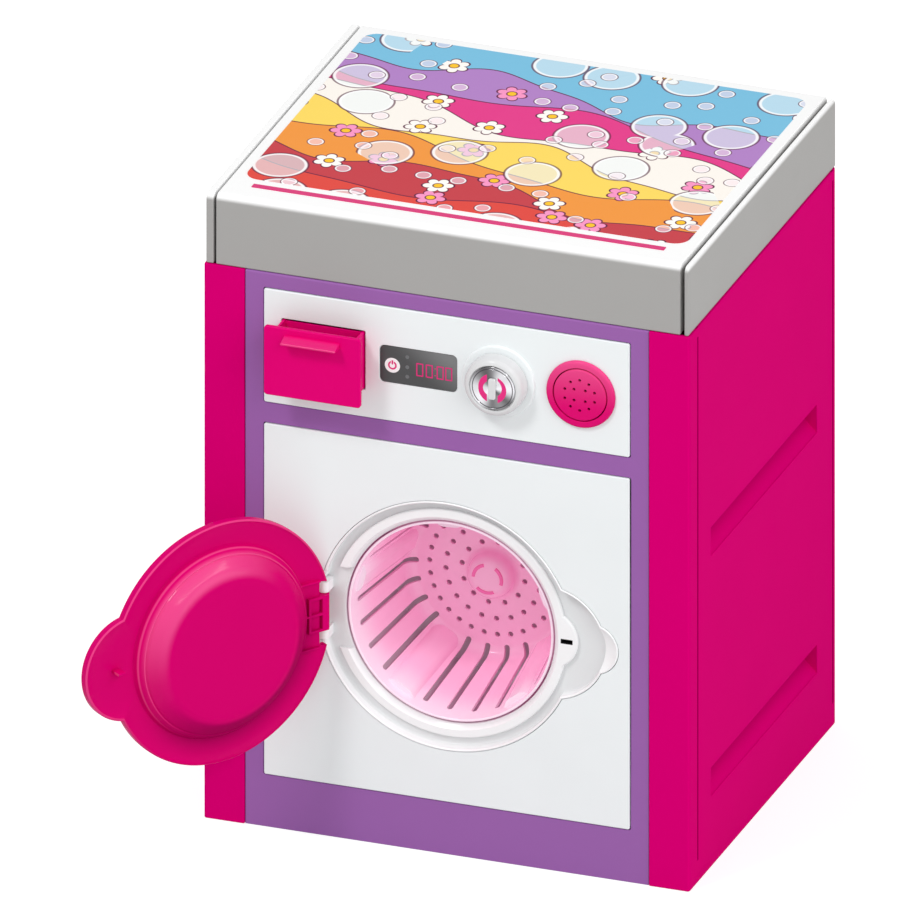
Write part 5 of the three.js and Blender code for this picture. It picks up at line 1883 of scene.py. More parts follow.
@dataclass
class Door:
    """The pink door, drawn shut round its own middle and then swung open.

    The corners of rim_slope are measured from the rim's inner wall and the flange's face.
    """

    height: float = 146.25
    hinge_x: float = -75.0
    hinge_depth: float = -1.5
    open_angle: float = -126.0
    steps: int = 160
    radius: float = 76.4
    face: float = 0.3
    floor: float = 2.3
    rim_top: float = 5.5
    rim_wall: float = 1.7
    rim_roundings: Pair = (0.7, 0.9)
    rim_slope: tuple[Corner, ...] = (
        (1.4, 4.2, 0.0), (0.1, 2.5, 0.6), (-2.2, 1.7, 2.4), (-7.5, 0.45, 4.0), (-16.0, 0.0, 5.0),
    )
    lobe_offset: float = 62.5
    lobe_radius: float = 33.2
    dish_profile: tuple[Corner, ...] = (
        (62.0, 1.2, 0.0), (60.4, 2.6, 1.0), (59.5, 5.2, 0.5), (56.6, 8.7, 0.45),
        (55.8, 8.4, 0.2), (55.2, 9.6, 0.6), (47.3, 16.4, 5.0),
    )
    dish_hollow: tuple[Corner, ...] = (
        (60.8, -1.7, 0.0), (58.2, 0.6, 1.0), (54.6, 7.5, 2.6), (43.9, 14.4, 4.6),
    )
    notch_reach: float = 5.8
    notch_half: float = 20.5
    rib_wall: float = 1.2
    rib_end: float = -51.0
    knuckle_half: float = 11.2
    knuckle_reach: float = 14.0
    knuckle_radius: float = 3.0
    knuckle_depth: float = 5.2
    knuckle_rib: float = 1.6
    bore_radius: float = 1.75
    nub_offset: float = 72.7
    nub_size: Pair = (5.0, 2.0)
    nub_top: float = 9.5

    def rim(self) -> Form:
        """The flat flange with its raised rim, lobe included.

        Returns:
            The flange.
        """
        top, back = self.rim_top, self.face
        back_rounding, top_rounding = self.rim_roundings
        solid: Form | None = None
        tools: list[Form] = []
        for radius, steps, x in (
            (self.radius, self.steps, 0.0), (self.lobe_radius, 96, self.lobe_offset)
        ):
            outline = [(radius, back, back_rounding), (radius, top, top_rounding)]
            part = Form.lathe(outline, steps, (x, 0.0))
            solid = part if solid is None else solid.join(part)
            inner = radius - self.rim_wall
            slope = [(inner + past, self.floor + up, soft) for past, up, soft in self.rim_slope]
            tools.append(Form.lathe(slope, steps, (x, 0.0)))
        return solid.cut(*tools)

    def knuckle(self) -> Form:
        """The hinge knuckle with its two cored pockets.

        Returns:
            The knuckle.
        """
        x = self.hinge_x
        half = self.knuckle_half
        barrel = Form.pin(self.knuckle_radius, (x, 0, -half), (x, 0, half), 48)
        arm = Form.block(
            (x, -self.knuckle_radius, -half), (x + self.knuckle_reach, self.knuckle_depth, half)
        )
        solid = barrel.join(arm).round_edges(0.45, 3, least_angle=50)
        for side in Side:
            low, high = side.span(self.knuckle_rib / 2, half - self.knuckle_rib)
            solid.cut(Form.block(
                (x + self.knuckle_radius + self.knuckle_rib, self.floor, low),
                (x + self.knuckle_reach - self.knuckle_rib, self.knuckle_depth + 1, high),
            ))
        return solid

    def ribs(self) -> list[Form]:
        """The three ribs that brace the hinge against the dish.

        Returns:
            The ribs.
        """
        outer = self.notch_half + self.rib_wall
        knuckle_end = self.hinge_x + self.knuckle_reach
        places = [
            (self.hinge_x + self.notch_reach, outer - self.rib_wall, outer),
            (knuckle_end - 0.5, -self.rib_wall / 2, self.rib_wall / 2),
            (self.hinge_x + self.notch_reach, -outer, self.rib_wall - outer),
        ]
        return [
            Form.block((start, self.floor - 0.5, low), (self.rib_end, self.rim_top, high), 0.3)
            for start, low, high in places
        ]

    def form(self) -> Form:
        """The whole door, shut, round its own middle.

        Returns:
            The door.
        """
        rim = self.rim()
        rim.cut(Form.block(
            (-self.radius - 1, self.face - 1, -self.notch_half),
            (self.hinge_x + self.notch_reach, self.rim_top + 1, self.notch_half),
        ))
        boss, hollow = [
            Form.lathe(profile, self.steps) for profile in (self.dish_profile, self.dish_hollow)
        ]
        nub = Form.block(
            (self.nub_offset - self.nub_size[0] / 2, self.floor - 1, -self.nub_size[1] / 2),
            (self.nub_offset + self.nub_size[0] / 2, self.nub_top, self.nub_size[1] / 2),
            0.5,
        )
        rim.join(boss, self.knuckle(), nub, *self.ribs())
        bore = Form.pin(self.bore_radius, (self.hinge_x, 0, -20), (self.hinge_x, 0, 20))
        return rim.cut(hollow, bore)

    def build(self) -> None:
        """Swings the door open and shows it."""
        door = self.form().move((-self.hinge_x, 0, 0)).turn(self.open_angle, "Z")
        door.move((self.hinge_x, self.hinge_depth, self.height))
        door.show("porthole_door", "door_pink", ["door"], Body.DOOR)


@dataclass
class Drum:
    """The tinted pink drum with its holes, slots and lifters."""

    steps: int = 144
    height: float = 146.25
    front: float = 7.0
    front_radius: float = 61.9
    wall: float = 1.6
    back_radius: float = 53.5
    back: float = 79.5
    corner: float = 9.0
    hub_radius: float = 13.5
    hub_front: float = 69.0
    hub_softness: float = 5.0
    hub_foot: float = 3.0
    hub_taper: float = 0.8
    lip_rounding: float = 0.6
    arc_radius: float = 8.7
    arc_width: float = 2.3
    arc_height: float = 0.6
    arc_count: int = 3
    arc_first: float = -16.0
    arc_sweep: float = 72.0
    bore_radius: float = 4.3
    bore_front: float = 71.5
    rings: tuple[Ring, ...] = ((19.6, 12, 21.0), (29.4, 20, 3.6), (39.5, 30, 9.6))
    hole_radius: float = 1.7
    slot_width: float = 3.4
    slot_from: float = 46.0
    slot_depth: float = 16.0
    lifter_first: float = 237.0
    lifter_count: int = 5
    slots_between: int = 4
    lifter_width: float = 20.0
    lifter_slope: float = 3.6
    lifter_height: float = 3.6
    lifter_front: float = 13.0
    lifter_end_radius: float = 3.2

    def lifter_angles(self) -> list[float]:
        """Places of the lifters round the axis, in degrees."""
        return [self.lifter_first + index * 360 / self.lifter_count
                for index in range(self.lifter_count)]

    def radius_at(self, depth: float) -> float:
        """The inner wall's radius at a depth."""
        share = (depth - self.front) / (self.back - self.corner - self.front)
        return self.front_radius + (self.back_radius - self.front_radius) * share

    def profile(self, grow: float) -> list[Corner]:
        """The side and back wall, grown outwards.

        Args:
            grow: How far.

        Returns:
            Radius, depth and rounding of each corner.
        """
        return [
            (self.front_radius + grow, self.front, 0),
            (self.back_radius + grow, self.back - self.corner, 0),
            (self.back_radius + grow * 0.9 - 0.6, self.back + grow, self.corner * 0.72),
        ]

    def pot(self) -> Form:
        """The drum's wall with its hub.

        Returns:
            The pot.
        """
        outer = self.profile(self.wall)
        inner = self.profile(0.0)
        outline = [
            (self.front_radius + self.wall, self.front, self.lip_rounding), *outer[1:],
            (self.bore_radius, self.back + self.wall, 0),
            (self.bore_radius, self.bore_front, 0),
        ]
        inside = [
            (self.hub_radius, self.hub_front, self.hub_softness),
            (self.hub_radius + self.hub_taper, self.back, self.hub_foot), inner[2], inner[1],
            (self.front_radius, self.front, self.lip_rounding),
        ]
        return Form.lathe([*inside, *outline], self.steps)

    def slots(self) -> Form:
        """All slot cutters beside each other.

        Returns:
            The cutters.
        """
        tools = Form()
        reach = self.front_radius + 6
        step = 360 / self.lifter_count / (self.slots_between + 1)
        for lifter in self.lifter_angles():
            for index in range(1, self.slots_between + 1):
                tool = Form.block(
                    (self.slot_from, self.slot_depth, -self.slot_width / 2),
                    (reach, self.back + 6, self.slot_width / 2),
                )
                round_ends = [
                    edge for edge in tool.mesh.edges
                    if all(vert.co.x < self.slot_from + 0.1 for vert in edge.verts)
                    and abs(edge.verts[0].co.y - edge.verts[1].co.y) > 1
                    or all(vert.co.y < self.slot_depth + 0.1 for vert in edge.verts)
                    and abs(edge.verts[0].co.x - edge.verts[1].co.x) > 1
                ]
                tool.bevel(round_ends, self.slot_width * 0.49, 5, "EDGES")
                tools.with_loose(tool.turn(-(lifter + index * step), "Y"))
        return tools

    def holes(self) -> Form:
        """All hole cutters beside each other.

        Returns:
            The cutters.
        """
        return Form().with_loose(*(
            Form.rod(self.hole_radius, place, self.back - 1, self.back + 4, 12)
            for place in ring_places(self.rings)
        ))

    def lifter(self, angle: float) -> Form:
        """A rounded paddle along the wall.

        Args:
            angle: Its place in degrees.

        Returns:
            The paddle, which still reaches through the wall.
        """
        start = self.radius_at(self.lifter_front)
        end = self.radius_at(self.back + 1)
        half = self.lifter_width / 2
        outline = [(start + 3, half), (start + 0.2, half),
                   (start - self.lifter_height, half - self.lifter_slope)]
        outline += [(x, -z) for x, z in reversed(outline)]
        length = self.back + 1 - self.lifter_front
        shape = Form.prism(
            [(x, self.lifter_front, z) for x, z in outline], (end - start, length, 0),
            [0, 0, 3.0, 3.0, 0, 0], 8,
        )
        shape.round_edges(self.lifter_end_radius, 8, lambda edge: all(
            vert.co.y < self.lifter_front + 0.01 and vert.co.x < start + 0.1
            for vert in edge.verts
        ))
        grow = self.wall * 0.6
        near = self.front + 2
        body = Form.lathe(
            [(self.front_radius + grow - 0.2, near, 0), *self.profile(grow)[1:]], self.steps
        )
        return shape.turn(-angle, "Y").keep(body)

    def arcs(self) -> Form:
        """Raised arcs on the hub, each spun over nearly a quarter turn.

        Returns:
            The arcs.
        """
        strips = Form()
        half = self.arc_width / 2
        for index in range(self.arc_count):
            start = self.arc_first + index * 360 / self.arc_count
            strip = Form()
            low, high = self.hub_front - self.arc_height, self.hub_front + 0.4
            corners = [
                (self.arc_radius - half, high, 0), (self.arc_radius - half * 0.7, low, 0),
                (self.arc_radius + half * 0.7, low, 0), (self.arc_radius + half, high, 0),
            ]
            face = strip.mesh.faces.new([strip.mesh.verts.new(corner) for corner in corners])
            parts = [face, *face.edges, *face.verts]
            bmesh.ops.spin(
                strip.mesh, geom=parts, cent=(0, 0, 0), axis=(0, 1, 0),
                angle=-math.radians(self.arc_sweep), steps=20,
            )
            bmesh.ops.recalc_face_normals(strip.mesh, faces=strip.mesh.faces[:])
            strips.with_loose(strip.turn(-start, "Y"))
        return strips

    def build(self) -> None:
        """Shows the drum."""
        pot = self.pot().cut(self.slots(), self.holes())
        for angle in self.lifter_angles():
            pot.join(self.lifter(angle))
        pot.move((0, 0, self.height))
        pot.show("wash_drum", "drum", ["drum"], Body.DRUM)
        arcs = self.arcs().move((0, 0, self.height))
        arcs.show("drum_hub_marks", "drum_mark", body=Body.DRUM)


@dataclass
class TopCover:
    """The white and grey top with its end plates, printed picture and stripe."""

    near: float = 1.0
    far: float = 251.0
    low: float = 355.3
    top: float = 400.0
    rounding: float = 4.4
    end_rounding: float = 0.8
    wall: float = 3.0
    label_corner: float = 9.0

    def bar(self, left: float, right: float, top: float) -> Form:
        """A stretch of the top with rounded front and back edges.

        Args:
            left: Its lower x.
            right: Its higher x.
            top: Its height.

        Returns:
            The stretch.
        """
        corners = [
            (left, self.near, self.low), (left, self.far, self.low),
            (left, self.far, top), (left, self.near, top),
        ]
        radius = self.rounding
        return Form.prism(corners, (right - left, 0, 0), [0, 0, radius, radius], 8)

    def build(self) -> None:
        """Shows the cover, end plates, picture and stripe."""
        for side in ("left", "right"):
            node = f"top_end_plate_{side}"
            span = Span.of(node)
            plate = self.bar(span.low.x, span.high.x, span.high.z)
            plate.show(f"top_end_{side}", "cap", [node], edge=self.end_rounding)
        span = Span.of("top_cover")
        cover = self.bar(span.low.x, span.high.x, self.top)
        cover.cut(Form.block(
            (span.low.x + self.wall, self.near + self.wall, self.low - 1),
            (span.high.x - self.wall, self.far - self.wall, self.top - self.wall),
            1.5,
        ))
        cover.show("top_lid", "cap", ["top_cover"], edge=self.end_rounding)
        self.flat("top_label", "top_picture", "picture", self.label_corner)
        self.flat("top_stripe", "top_band", "stripe", 0.5)

    def flat(self, node: str, name: str, finish: str, corner: float) -> None:
        """Shows a thin printed sheet on the top with rounded corners.

        Args:
            node: The CAD node.
            name: The piece's name.
            finish: The finish's name.
            corner: Radius of its corners.
        """
        span = Span.of(node)
        low, high = span.low, span.high
        corners = [
            (low.x, low.y, low.z), (high.x, low.y, low.z),
            (high.x, high.y, low.z), (low.x, high.y, low.z),
        ]
        sheet = Form.prism(corners, (0, 0, high.z - low.z), corner, 10)
        sheet.show(name, finish, [node])


@dataclass
class Drawer:
    """The pink detergent drawer."""

    plate_wall: float = 3.0
    plate_corner: float = 2.0
    plate_rounding: float = 0.8
    wall: float = 1.6
    tray_half: Pair = (25.25, 18.15)
    divider_depth: float = 0.4
    divider_wall: float = 1.4
    divider_drop: float = 0.6
    lip_width: float = 34.0
    lip_reach: float = 7.5
    lip_top: float = 17.8
    lip_wall: float = 3.2
    lip_tip: float = 1.1

    def build(self) -> None:
        """Shows the drawer."""
        span = Span.of("drawer")
        middle = span.middle
        front = span.low.y + self.lip_reach
        back = front + self.plate_wall
        half_width, half_height = self.tray_half
        plate = Form.slab(span.face, middle, front, back, self.plate_corner, 8)
        plate.round_edges(self.plate_rounding, 4, lambda edge: (
            abs(edge.verts[0].co.y - edge.verts[1].co.y) < TINY
        ))
        tray = Form.block(
            (middle[0] - half_width, back - 1, middle[1] - half_height),
            (middle[0] + half_width, span.high.y, middle[1] + half_height),
            0.5,
        )
        hollow = Form.block(
            (middle[0] - half_width + self.wall, back, middle[1] - half_height + self.wall),
            (middle[0] + half_width - self.wall, span.high.y - self.wall, middle[1] + 30),
        )
        top = middle[1] + self.lip_top
        left, tip, under = middle[0] - self.lip_width / 2, span.low.y, top - self.lip_wall
        lip = Form.prism(
            [(left, front + 1, under), (left, tip, under),
             (left, tip, under + self.lip_tip), (left, front - 1, top), (left, front + 1, top)],
            (self.lip_width, 0, 0),
        ).round_edges(0.4, 4, least_angle=10)
        divider = Form.block(
            (middle[0] - half_width + 1, self.divider_depth, middle[1] - half_height + 1),
            (middle[0] + half_width - 1, self.divider_depth + self.divider_wall,
             middle[1] + half_height - self.divider_drop),
        )
        plate.join(tray.cut(hollow), divider)
        lip.show("drawer_finger_lip", "lip_pink", body=Body.DRAWER)
        plate.show("detergent_drawer", "drawer_pink", ["drawer"], Body.DRAWER, edge=0.25)


@dataclass
class Display:
    """The display label with its printed digits and power mark."""

    corner: float = 3.0
    print_height: float = 0.06
    digit_size: Pair = (4.4, 8.4)
    digit_line: float = 0.75
    digit_places: tuple[float, ...] = (-1.4, 4.5, 11.2, 16.5)
    colon_x: float = 10.3
    colon_reach: float = 2.2
    colon_size: float = 0.7
    digit_drop: float = -0.8
    mark_x: float = -16.1
    mark_drop: float = -0.5
    mark_radius: float = 4.7
    ring_radius: float = 2.2
    ring_line: float = 1.0
    lamp_x: float = -6.9
    lamp_drops: tuple[float, ...] = (-6.4, -0.3, 6.2)
    lamp_radius: float = 1.2

    def digits(self, x: float, z: float, face: float) -> Form:
        """Four outlined noughts and the colon between the pairs.

        Args:
            x: The label's middle.
            z: Its height.
            face: Depth of its face.

        Returns:
            The prints.
        """
        prints = Form()
        width, height = self.digit_size
        line = self.digit_line
        near, far = face - self.print_height, face + 0.1
        for place in self.digit_places:
            middle = (x + place + width / 2, z + self.digit_drop)
            digit = Form.slab((width, height), middle, near, far, 0.4, 3)
            size = (width - 2 * line, height - 2 * line)
            digit.cut(Form.slab(size, middle, near - 1, far + 1, 0.2, 2))
            prints.with_loose(digit)
        for side in (-1, 1):
            middle = (x + self.colon_x, z + self.digit_drop + side * self.colon_reach)
            dot = (self.colon_size, self.colon_size)
            prints.with_loose(Form.slab(dot, middle, near, far, 0.2, 2))
        return prints

    def power_mark(self, x: float, z: float, face: float) -> tuple[Form, Form]:
        """The white disc and the pink power symbol on it.

        Args:
            x: The disc's middle.
            z: Its height.
            face: Depth of the label's face.

        Returns:
            The disc and the symbol.
        """
        near = face - self.print_height
        disc = Form.rod(self.mark_radius, (x, z), near, face + 0.1, 48)
        line = self.ring_line / 2
        ring = Form.lathe(
            [(self.ring_radius - line, near - 0.05, 0), (self.ring_radius + line, near - 0.05, 0),
             (self.ring_radius + line, near + 0.1, 0), (self.ring_radius - line, near + 0.1, 0)],
            48, (x, z), closed=True,
        )
        ring.cut(Form.block((x - 0.9, near - 1, z + 1), (x + 0.9, near + 1, z + 4)))
        bar = Form.slab((self.ring_line, 2.6), (x, z + 1.9), near - 0.05, near + 0.1, 0.2, 2)
        return disc, ring.with_loose(bar)

    def build(self) -> None:
        """Shows the label and its prints."""
        span = Span.of("display_label")
        (x, z), face = span.middle, span.low.y
        label = Form.slab(span.face, (x, z), face, span.high.y, self.corner, 8)
        label.show("display_face", "display", ["display_label"])
        self.digits(x, z, face).show("display_digits", "digits")
        disc, symbol = self.power_mark(x + self.mark_x, z + self.mark_drop, face)
        disc.show("power_mark_disc", "bright")
        symbol.show("power_mark", "digits")
        near = face - self.print_height
        lamps = Form().with_loose(*(
            Form.rod(self.lamp_radius, (x + self.lamp_x, z + drop), face, near, 24)
            for drop in self.lamp_drops
        ))
        lamps.show("display_lamps", "lamp_print")


@dataclass
class Knob:
    """The programme knob with its chromed disc and pointer."""

    cap_profile: tuple[Corner, ...] = (
        (3.3, -8.3, 0.0), (3.3, -2.8, 0.0), (5.5, -2.8, 0.0), (5.5, -8.3, 0.5), (14.5, -8.3, 1.0),
        (16.5, -1.8, 0.0), (18.5, -1.8, 0.4), (17.9, -11.5, 3.4), (14.6, -11.5, 0.5),
        (14.1, -10.3, 0.0),
    )
    recess: float = -10.3
    disc_radius: float = 13.8
    disc_front: float = -11.2
    disc_rounding: float = 0.35
    pointer_size: Pair = (4.3, 13.1)
    pointer_front: float = -12.8
    pointer_corner: float = 1.2
    pointer_rounding: float = 0.55

    def build(self) -> None:
        """Shows the cap, the disc and the pointer."""
        span = Span.of("knob")
        centre = span.middle
        cap = Form.lathe(self.cap_profile, 128, centre, softness=8)
        cap.show("knob_cap", "knob_white", ["knob"], Body.KNOB)
        disc = Form.disc(
            self.disc_radius, self.disc_front, self.recess, self.disc_rounding, centre
        )
        disc.show("knob_plate", "chrome", ["knob_disc"], Body.KNOB)
        bar = Form.slab(
            self.pointer_size, centre, self.pointer_front, self.disc_front,
            self.pointer_corner, 5,
        )
        bar.round_front(self.pointer_rounding, 4, self.pointer_front)
        bar.show("knob_bar", "knob_white", ["knob_pointer"], Body.KNOB)


@dataclass
class SoundButton:
    """The sound button with its grille, and the bezel round it."""

    bezel_radius: float = 21.3
    bezel_inner: float = 16.9
    bezel_front: float = -2.4
    sleeve_wall: float = 1.5
    sleeve_back: float = 5.0
    button_radius: float = 16.3
    rounding: float = 1.1
    face: float = -2.8
    wall: float = 1.8
    skirt_wall: float = 1.4
    skirt_back: float = 9.0
    grille: tuple[Ring, ...] = ((9.65, 10, 18.0), (4.9, 4, 45.0))
    hole_radius: float = 0.95
    lug_half: float = 3.0

    def build(self) -> None:
        """Shows the bezel and the button."""
        span = Span.of("sound_bezel")
        x, z = span.middle
        bezel = Form.lathe([
            (self.bezel_inner, self.bezel_front, 0.5),
            (self.bezel_radius - 0.4, self.bezel_front, 1.3), (self.bezel_radius, -0.3, 0),
            (self.bezel_inner + self.sleeve_wall, -0.3, 0),
            (self.bezel_inner + self.sleeve_wall, self.sleeve_back, 0),
            (self.bezel_inner, self.sleeve_back, 0),
        ], 128, (x, z), closed=True)
        bezel.show("sound_rim", "button_pink", ["sound_bezel"])
        skirt = self.button_radius - self.skirt_wall
        button = Form.lathe([
            (self.button_radius, self.face, self.rounding),
            (self.button_radius, self.skirt_back, 0), (skirt, self.skirt_back, 0),
            (skirt, self.face + self.wall, 0.5),
        ], 128, (x, z))
        lug = Span.of("sound_button")
        button.join(Form.block(
            (x - self.lug_half, self.skirt_back - 1, lug.low.z + 0.15),
            (x + self.lug_half, lug.high.y, z - skirt),
        ))
        button.cut(Form().with_loose(*(
            Form.rod(self.hole_radius, (x + across, z + up), self.face - 1, self.face + 3, 16)
            for across, up in ring_places(self.grille)
        )))
        button.show("sound_push", "button_pink", ["sound_button"], Body.BUTTON)


@dataclass
class Back:
    """The back panel, the battery cover and their screws."""

    rounding: float = 0.5
    rib_count: int = 6
    rib_size: Pair = (1.4, 22.0)
    rib_pitch: float = 3.2
    rib_start: float = 7.0
    bead_inset: float = 12.0
    bead_width: float = 1.5
    bead_depth: float = 0.5
    bead_corner: float = 6.0
    head_radius: float = 3.4
    head_height: float = 2.0
    head_rounding: float = 1.5
    shank_radius: float = 1.5
    cross_length: float = 3.6
    cross_width: float = 0.9
    cross_depth: float = 1.2
    screw_bore: float = 1.8
    cover_gap: float = 0.3
    screws: tuple[str, ...] = (
        "back_screw_1", "back_screw_2", "back_screw_3", "back_screw_4", "cover_screw",
    )

    def screw_hole(self, node: str, through: Span) -> Form:
        """The cutter of a screw's hole through a panel.

        Args:
            node: The screw's CAD node.
            through: The panel's span.

        Returns:
            The cutter.
        """
        near, far = through.low.y - 1, through.high.y + 1
        return Form.rod(self.screw_bore, Span.of(node).middle, near, far)

    def panel(self) -> Form:
        """The back panel with the battery opening, screw holes and a sunk border line.

        Returns:
            The panel.
        """
        span = Span.of("back_panel")
        low, high = span.low, span.high
        panel = Form.block(low, high)
        bay = Span.of("battery_cover")
        gap = self.cover_gap
        panel.cut(Form.block(
            (bay.low.x - gap, low.y - 1, bay.low.z - gap),
            (bay.high.x + gap, high.y + 1, bay.high.z + gap),
        ))
        for node in self.screws[:-1]:
            panel.cut(self.screw_hole(node, span))
        inset = self.bead_inset
        width, height = span.size.x - 2 * inset, span.size.z - 2 * inset
        middle = span.middle
        near, bead = high.y - self.bead_depth, self.bead_width
        border = Form.slab((width, height), middle, near, high.y + 1, self.bead_corner)
        border.cut(Form.slab(
            (width - 2 * bead, height - 2 * bead), middle, high.y - 2, high.y + 2,
            self.bead_corner - bead,
        ))
        return panel.cut(border)

    def cover(self) -> Form:
        """The battery cover with finger ribs and a screw hole.

        Returns:
            The cover.
        """
        span = Span.of("battery_cover")
        cover = Form.block(span.low, span.high)
        cover.cut(self.screw_hole(self.screws[-1], span))
        for index in range(self.rib_count):
            x = span.low.x + self.rib_start + index * self.rib_pitch
            cover.cut(Form.slab(
                self.rib_size, (x, span.centre.z), span.high.y - 0.8, span.high.y + 1, 0.6, 3
            ))
        return cover

    def screw(self, node: str) -> Form:
        """A pan-head screw with a cross recess.

        Args:
            node: The CAD node.

        Returns:
            The screw.
        """
        span = Span.of(node)
        seat, shank = span.high.y - self.head_height, self.shank_radius
        centre = span.middle
        form = Form.lathe([
            (shank / 2, span.low.y, 0), (shank, span.low.y + shank, 0), (shank, seat, 0),
            (self.head_radius, seat, 0.2), (self.head_radius, span.high.y, self.head_rounding),
        ], 48, centre, softness=5)
        for width, height in (
            (self.cross_length, self.cross_width), (self.cross_width, self.cross_length),
        ):
            form.cut(Form.slab(
                (width, height), centre, span.high.y - self.cross_depth, span.high.y + 1
            ))
        return form

    def build(self) -> None:
        """Shows the panel, the cover and the screws."""
        self.panel().show("back_board", "pink", ["back_panel"], edge=self.rounding)
        self.cover().show("battery_door", "pink", ["battery_cover"], edge=0.3)
        for node in self.screws:
            self.screw(node).show(f"{node}_head", "steel", [node])


@dataclass
class HiddenWorks:
    """The carried-over solids inside the case, each given its finish."""

    nodes: tuple[tuple[str, tuple[str, ...]], ...] = (
        ("white", ("base_plate", "drawer_guide", "switch_shaft")),
        # The latch clip is black so that the latch slot in front of it looks dark: painted shade.
        ("black", ("latch_clip", "rotary_switch", "tact_switch", "speaker", "battery_box")),
        ("steel", (
            "drum_shaft", "idler_pin", "motor_shaft", "motor", "button_spring",
            "contact_plate_left", "contact_plate_right",
        )),
        ("acetal", ("drum_gear", "idler_gear")),
        ("tub", ("outer_tub",)),
        ("brass", ("shaft_bush", "motor_pinion")),
        ("grey", ("gear_bracket",)),
        ("board", ("circuit_board",)),
        ("cell", ("battery_1", "battery_2", "battery_3")),
    )

    def build(self) -> None:
        """Gives every carried-over node its material."""
        for finish, nodes in self.nodes:
            for node in nodes:
                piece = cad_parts[node]
                piece.data.materials.clear()
                piece.data.materials.append(material(finish))
                LOG.info("%s: %s", node, finish)


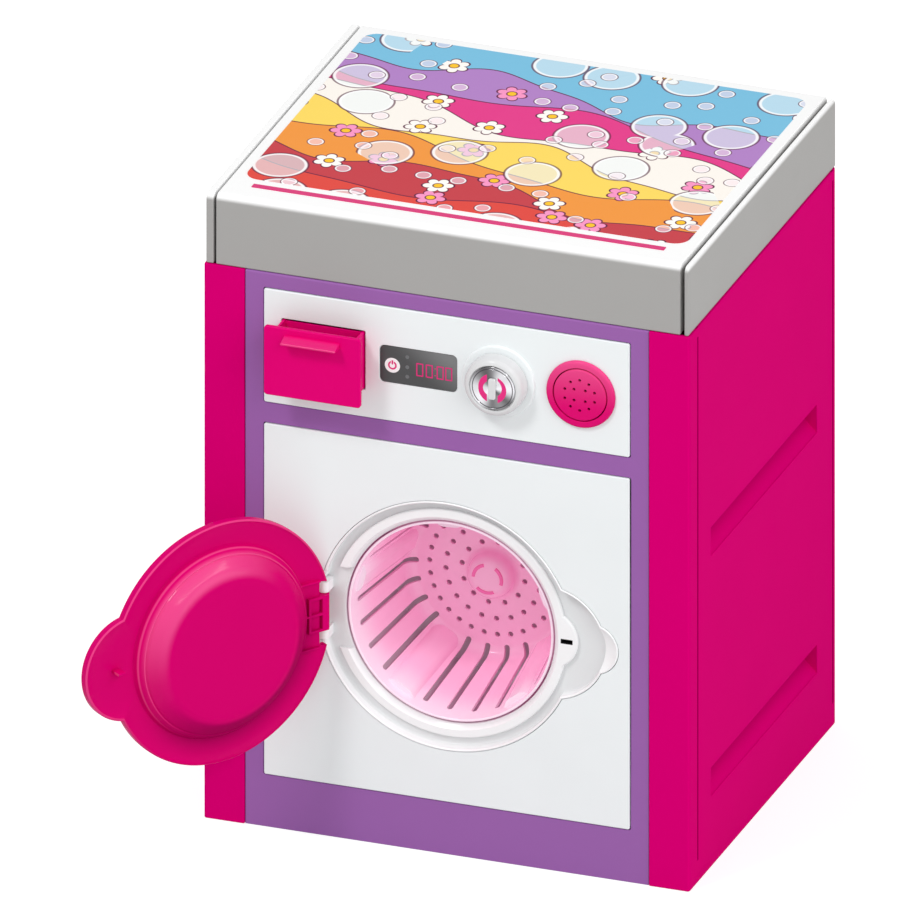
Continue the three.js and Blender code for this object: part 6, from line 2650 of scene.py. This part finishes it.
@dataclass
class Studio:
    """The pale floor, the soft light and the camera at the photograph's angle."""

    azimuth: float = 20.0
    elevation: float = 25.0
    scale: float = 0.5341
    shift_right: float = -0.0353
    shift_up: float = 0.1792
    distance: float = 3.0
    world_strength: float = 0.64
    floor_albedo: float = 0.5
    floor_glow: float = 0.7
    floor_bounce: float = 0.65
    floor_drop: float = 0.0002
    floor_radius: float = 8.0
    lamp_distance: float = 4.0
    aim_height: float = 0.2
    key: Point = (-0.311, -0.566, 0.764)
    key_size: float = 0.9
    key_power: float = 48.0
    side: Point = (0.93, -0.34, 0.14)
    side_size: float = 3.0
    side_power: float = 36.0
    strip: tuple[Point, Point] = ((0.36, -0.83, 0.42), (0.72, 0.08, 0.68))
    strip_height: float = 0.3
    strip_power: float = 38.0

    def camera(self) -> None:
        """Sets the camera."""
        a, e = math.radians(self.azimuth), math.radians(self.elevation)
        back = Vector((math.sin(a) * math.cos(e), -math.cos(a) * math.cos(e), math.sin(e)))
        right = Vector((math.cos(a), math.sin(a), 0))
        up = back.cross(right)
        data = bpy.data.cameras.new("camera")
        data.type = "ORTHO"
        data.ortho_scale = self.scale
        data.clip_start, data.clip_end = 0.05, 12
        camera = placed("camera", data)
        turn = Matrix((right, up, back)).transposed().to_4x4()
        target = right * self.shift_right + up * self.shift_up
        camera.matrix_world = Matrix.Translation(target + back * self.distance) @ turn
        bpy.context.scene.camera = camera

    def world(self) -> None:
        """Lights the object evenly and shows white behind it."""
        world = bpy.data.worlds.new("studio")
        nodes = Nodes(world)
        plain, white = [
            nodes.node("ShaderNodeBackground", inputs={"Color": WHITE, "Strength": strength})
            for strength in (self.world_strength, 1.0)
        ]
        shown = nodes.node("ShaderNodeMixShader", inputs={
            0: nodes.seen(), 1: plain.outputs[0], 2: white.outputs[0],
        })
        nodes.node("ShaderNodeOutputWorld", inputs={"Surface": shown.outputs[0]})
        bpy.context.scene.world = world

    def lamp(self, name: str, direction: Vector, along: Vector, power: float) -> bpy.types.Light:
        """Hangs an area lamp that shines on the toy.

        Args:
            name: The lamp's name.
            direction: The way towards it.
            along: The way that its long side runs.
            power: Its power in watts.

        Returns:
            The lamp's data.
        """
        data = bpy.data.lights.new(name, "AREA")
        data.energy = power
        hung = placed(name, data)
        way = direction.normalized()
        side = (along - way * along.dot(way)).normalized()
        turn = Matrix((side, way.cross(side), way)).transposed().to_4x4()
        aim = Vector((0, 0, self.aim_height))
        hung.matrix_world = Matrix.Translation(aim + way * self.lamp_distance) @ turn
        return data

    def lights(self) -> None:
        """Adds the soft key lamp, the broad side lamp and the strip lamp above it."""
        key = self.lamp("key_lamp", Vector(self.key), Vector((1, 0, 0)), self.key_power)
        key.shape = "DISK"
        key.size = self.key_size
        side = self.lamp("side_lamp", Vector(self.side), Vector((0, 0, 1)), self.side_power)
        side.shape = "DISK"
        side.size = self.side_size
        start, end = map(Vector, self.strip)
        strip = self.lamp("strip_lamp", (start + end) / 2, end - start, self.strip_power)
        strip.shape = "RECTANGLE"
        strip.size = (end - start).length * self.lamp_distance
        strip.size_y = self.strip_height

    def floor(self) -> None:
        """Lays the pale floor: white where it is seen, a softer grey where it sends light up."""
        sheet = bmesh.new()
        drop = Matrix.Translation((0, 0, -self.floor_drop))
        bmesh.ops.create_circle(
            sheet, cap_ends=True, segments=64, radius=self.floor_radius, matrix=drop
        )
        data = bpy.data.meshes.new("floor")
        sheet.to_mesh(data)
        sheet.free()
        floor = placed("floor", data)
        shader = Shader("floor_paper")
        surfaces = []
        for albedo, glow in ((self.floor_bounce, 0.0), (self.floor_albedo, self.floor_glow)):
            surfaces.append(shader.node("ShaderNodeBsdfPrincipled", inputs={
                "Base Color": (albedo, albedo, albedo, 1.0),
                "Roughness": 0.9,
                "Specular IOR Level": 0.0,
                "Emission Color": WHITE,
                "Emission Strength": glow,
            }).outputs[0])
        shown = shader.node("ShaderNodeMixShader", inputs={
            0: shader.seen(), 1: surfaces[0], 2: surfaces[1],
        })
        shader.node("ShaderNodeOutputMaterial", inputs={"Surface": shown.outputs[0]})
        floor.data.materials.append(shader.material)

    def build(self) -> None:
        """Sets up camera, light and floor."""
        self.camera()
        self.world()
        self.lights()
        self.floor()
        bpy.context.scene.view_settings.view_transform = "Standard"


def main() -> None:
    """Builds every sub-assembly in order."""
    logging.basicConfig(level=logging.INFO, format="%(message)s")
    Studio().build()
    HiddenWorks().build()
    CaseShell().build()
    porthole = Porthole()
    Fascias().build(porthole)
    porthole.build()
    for part in (Door, Drum, TopCover, Drawer, Display, Knob, SoundButton, Back):
        part().build()


if __name__ == "__main__":
    main()
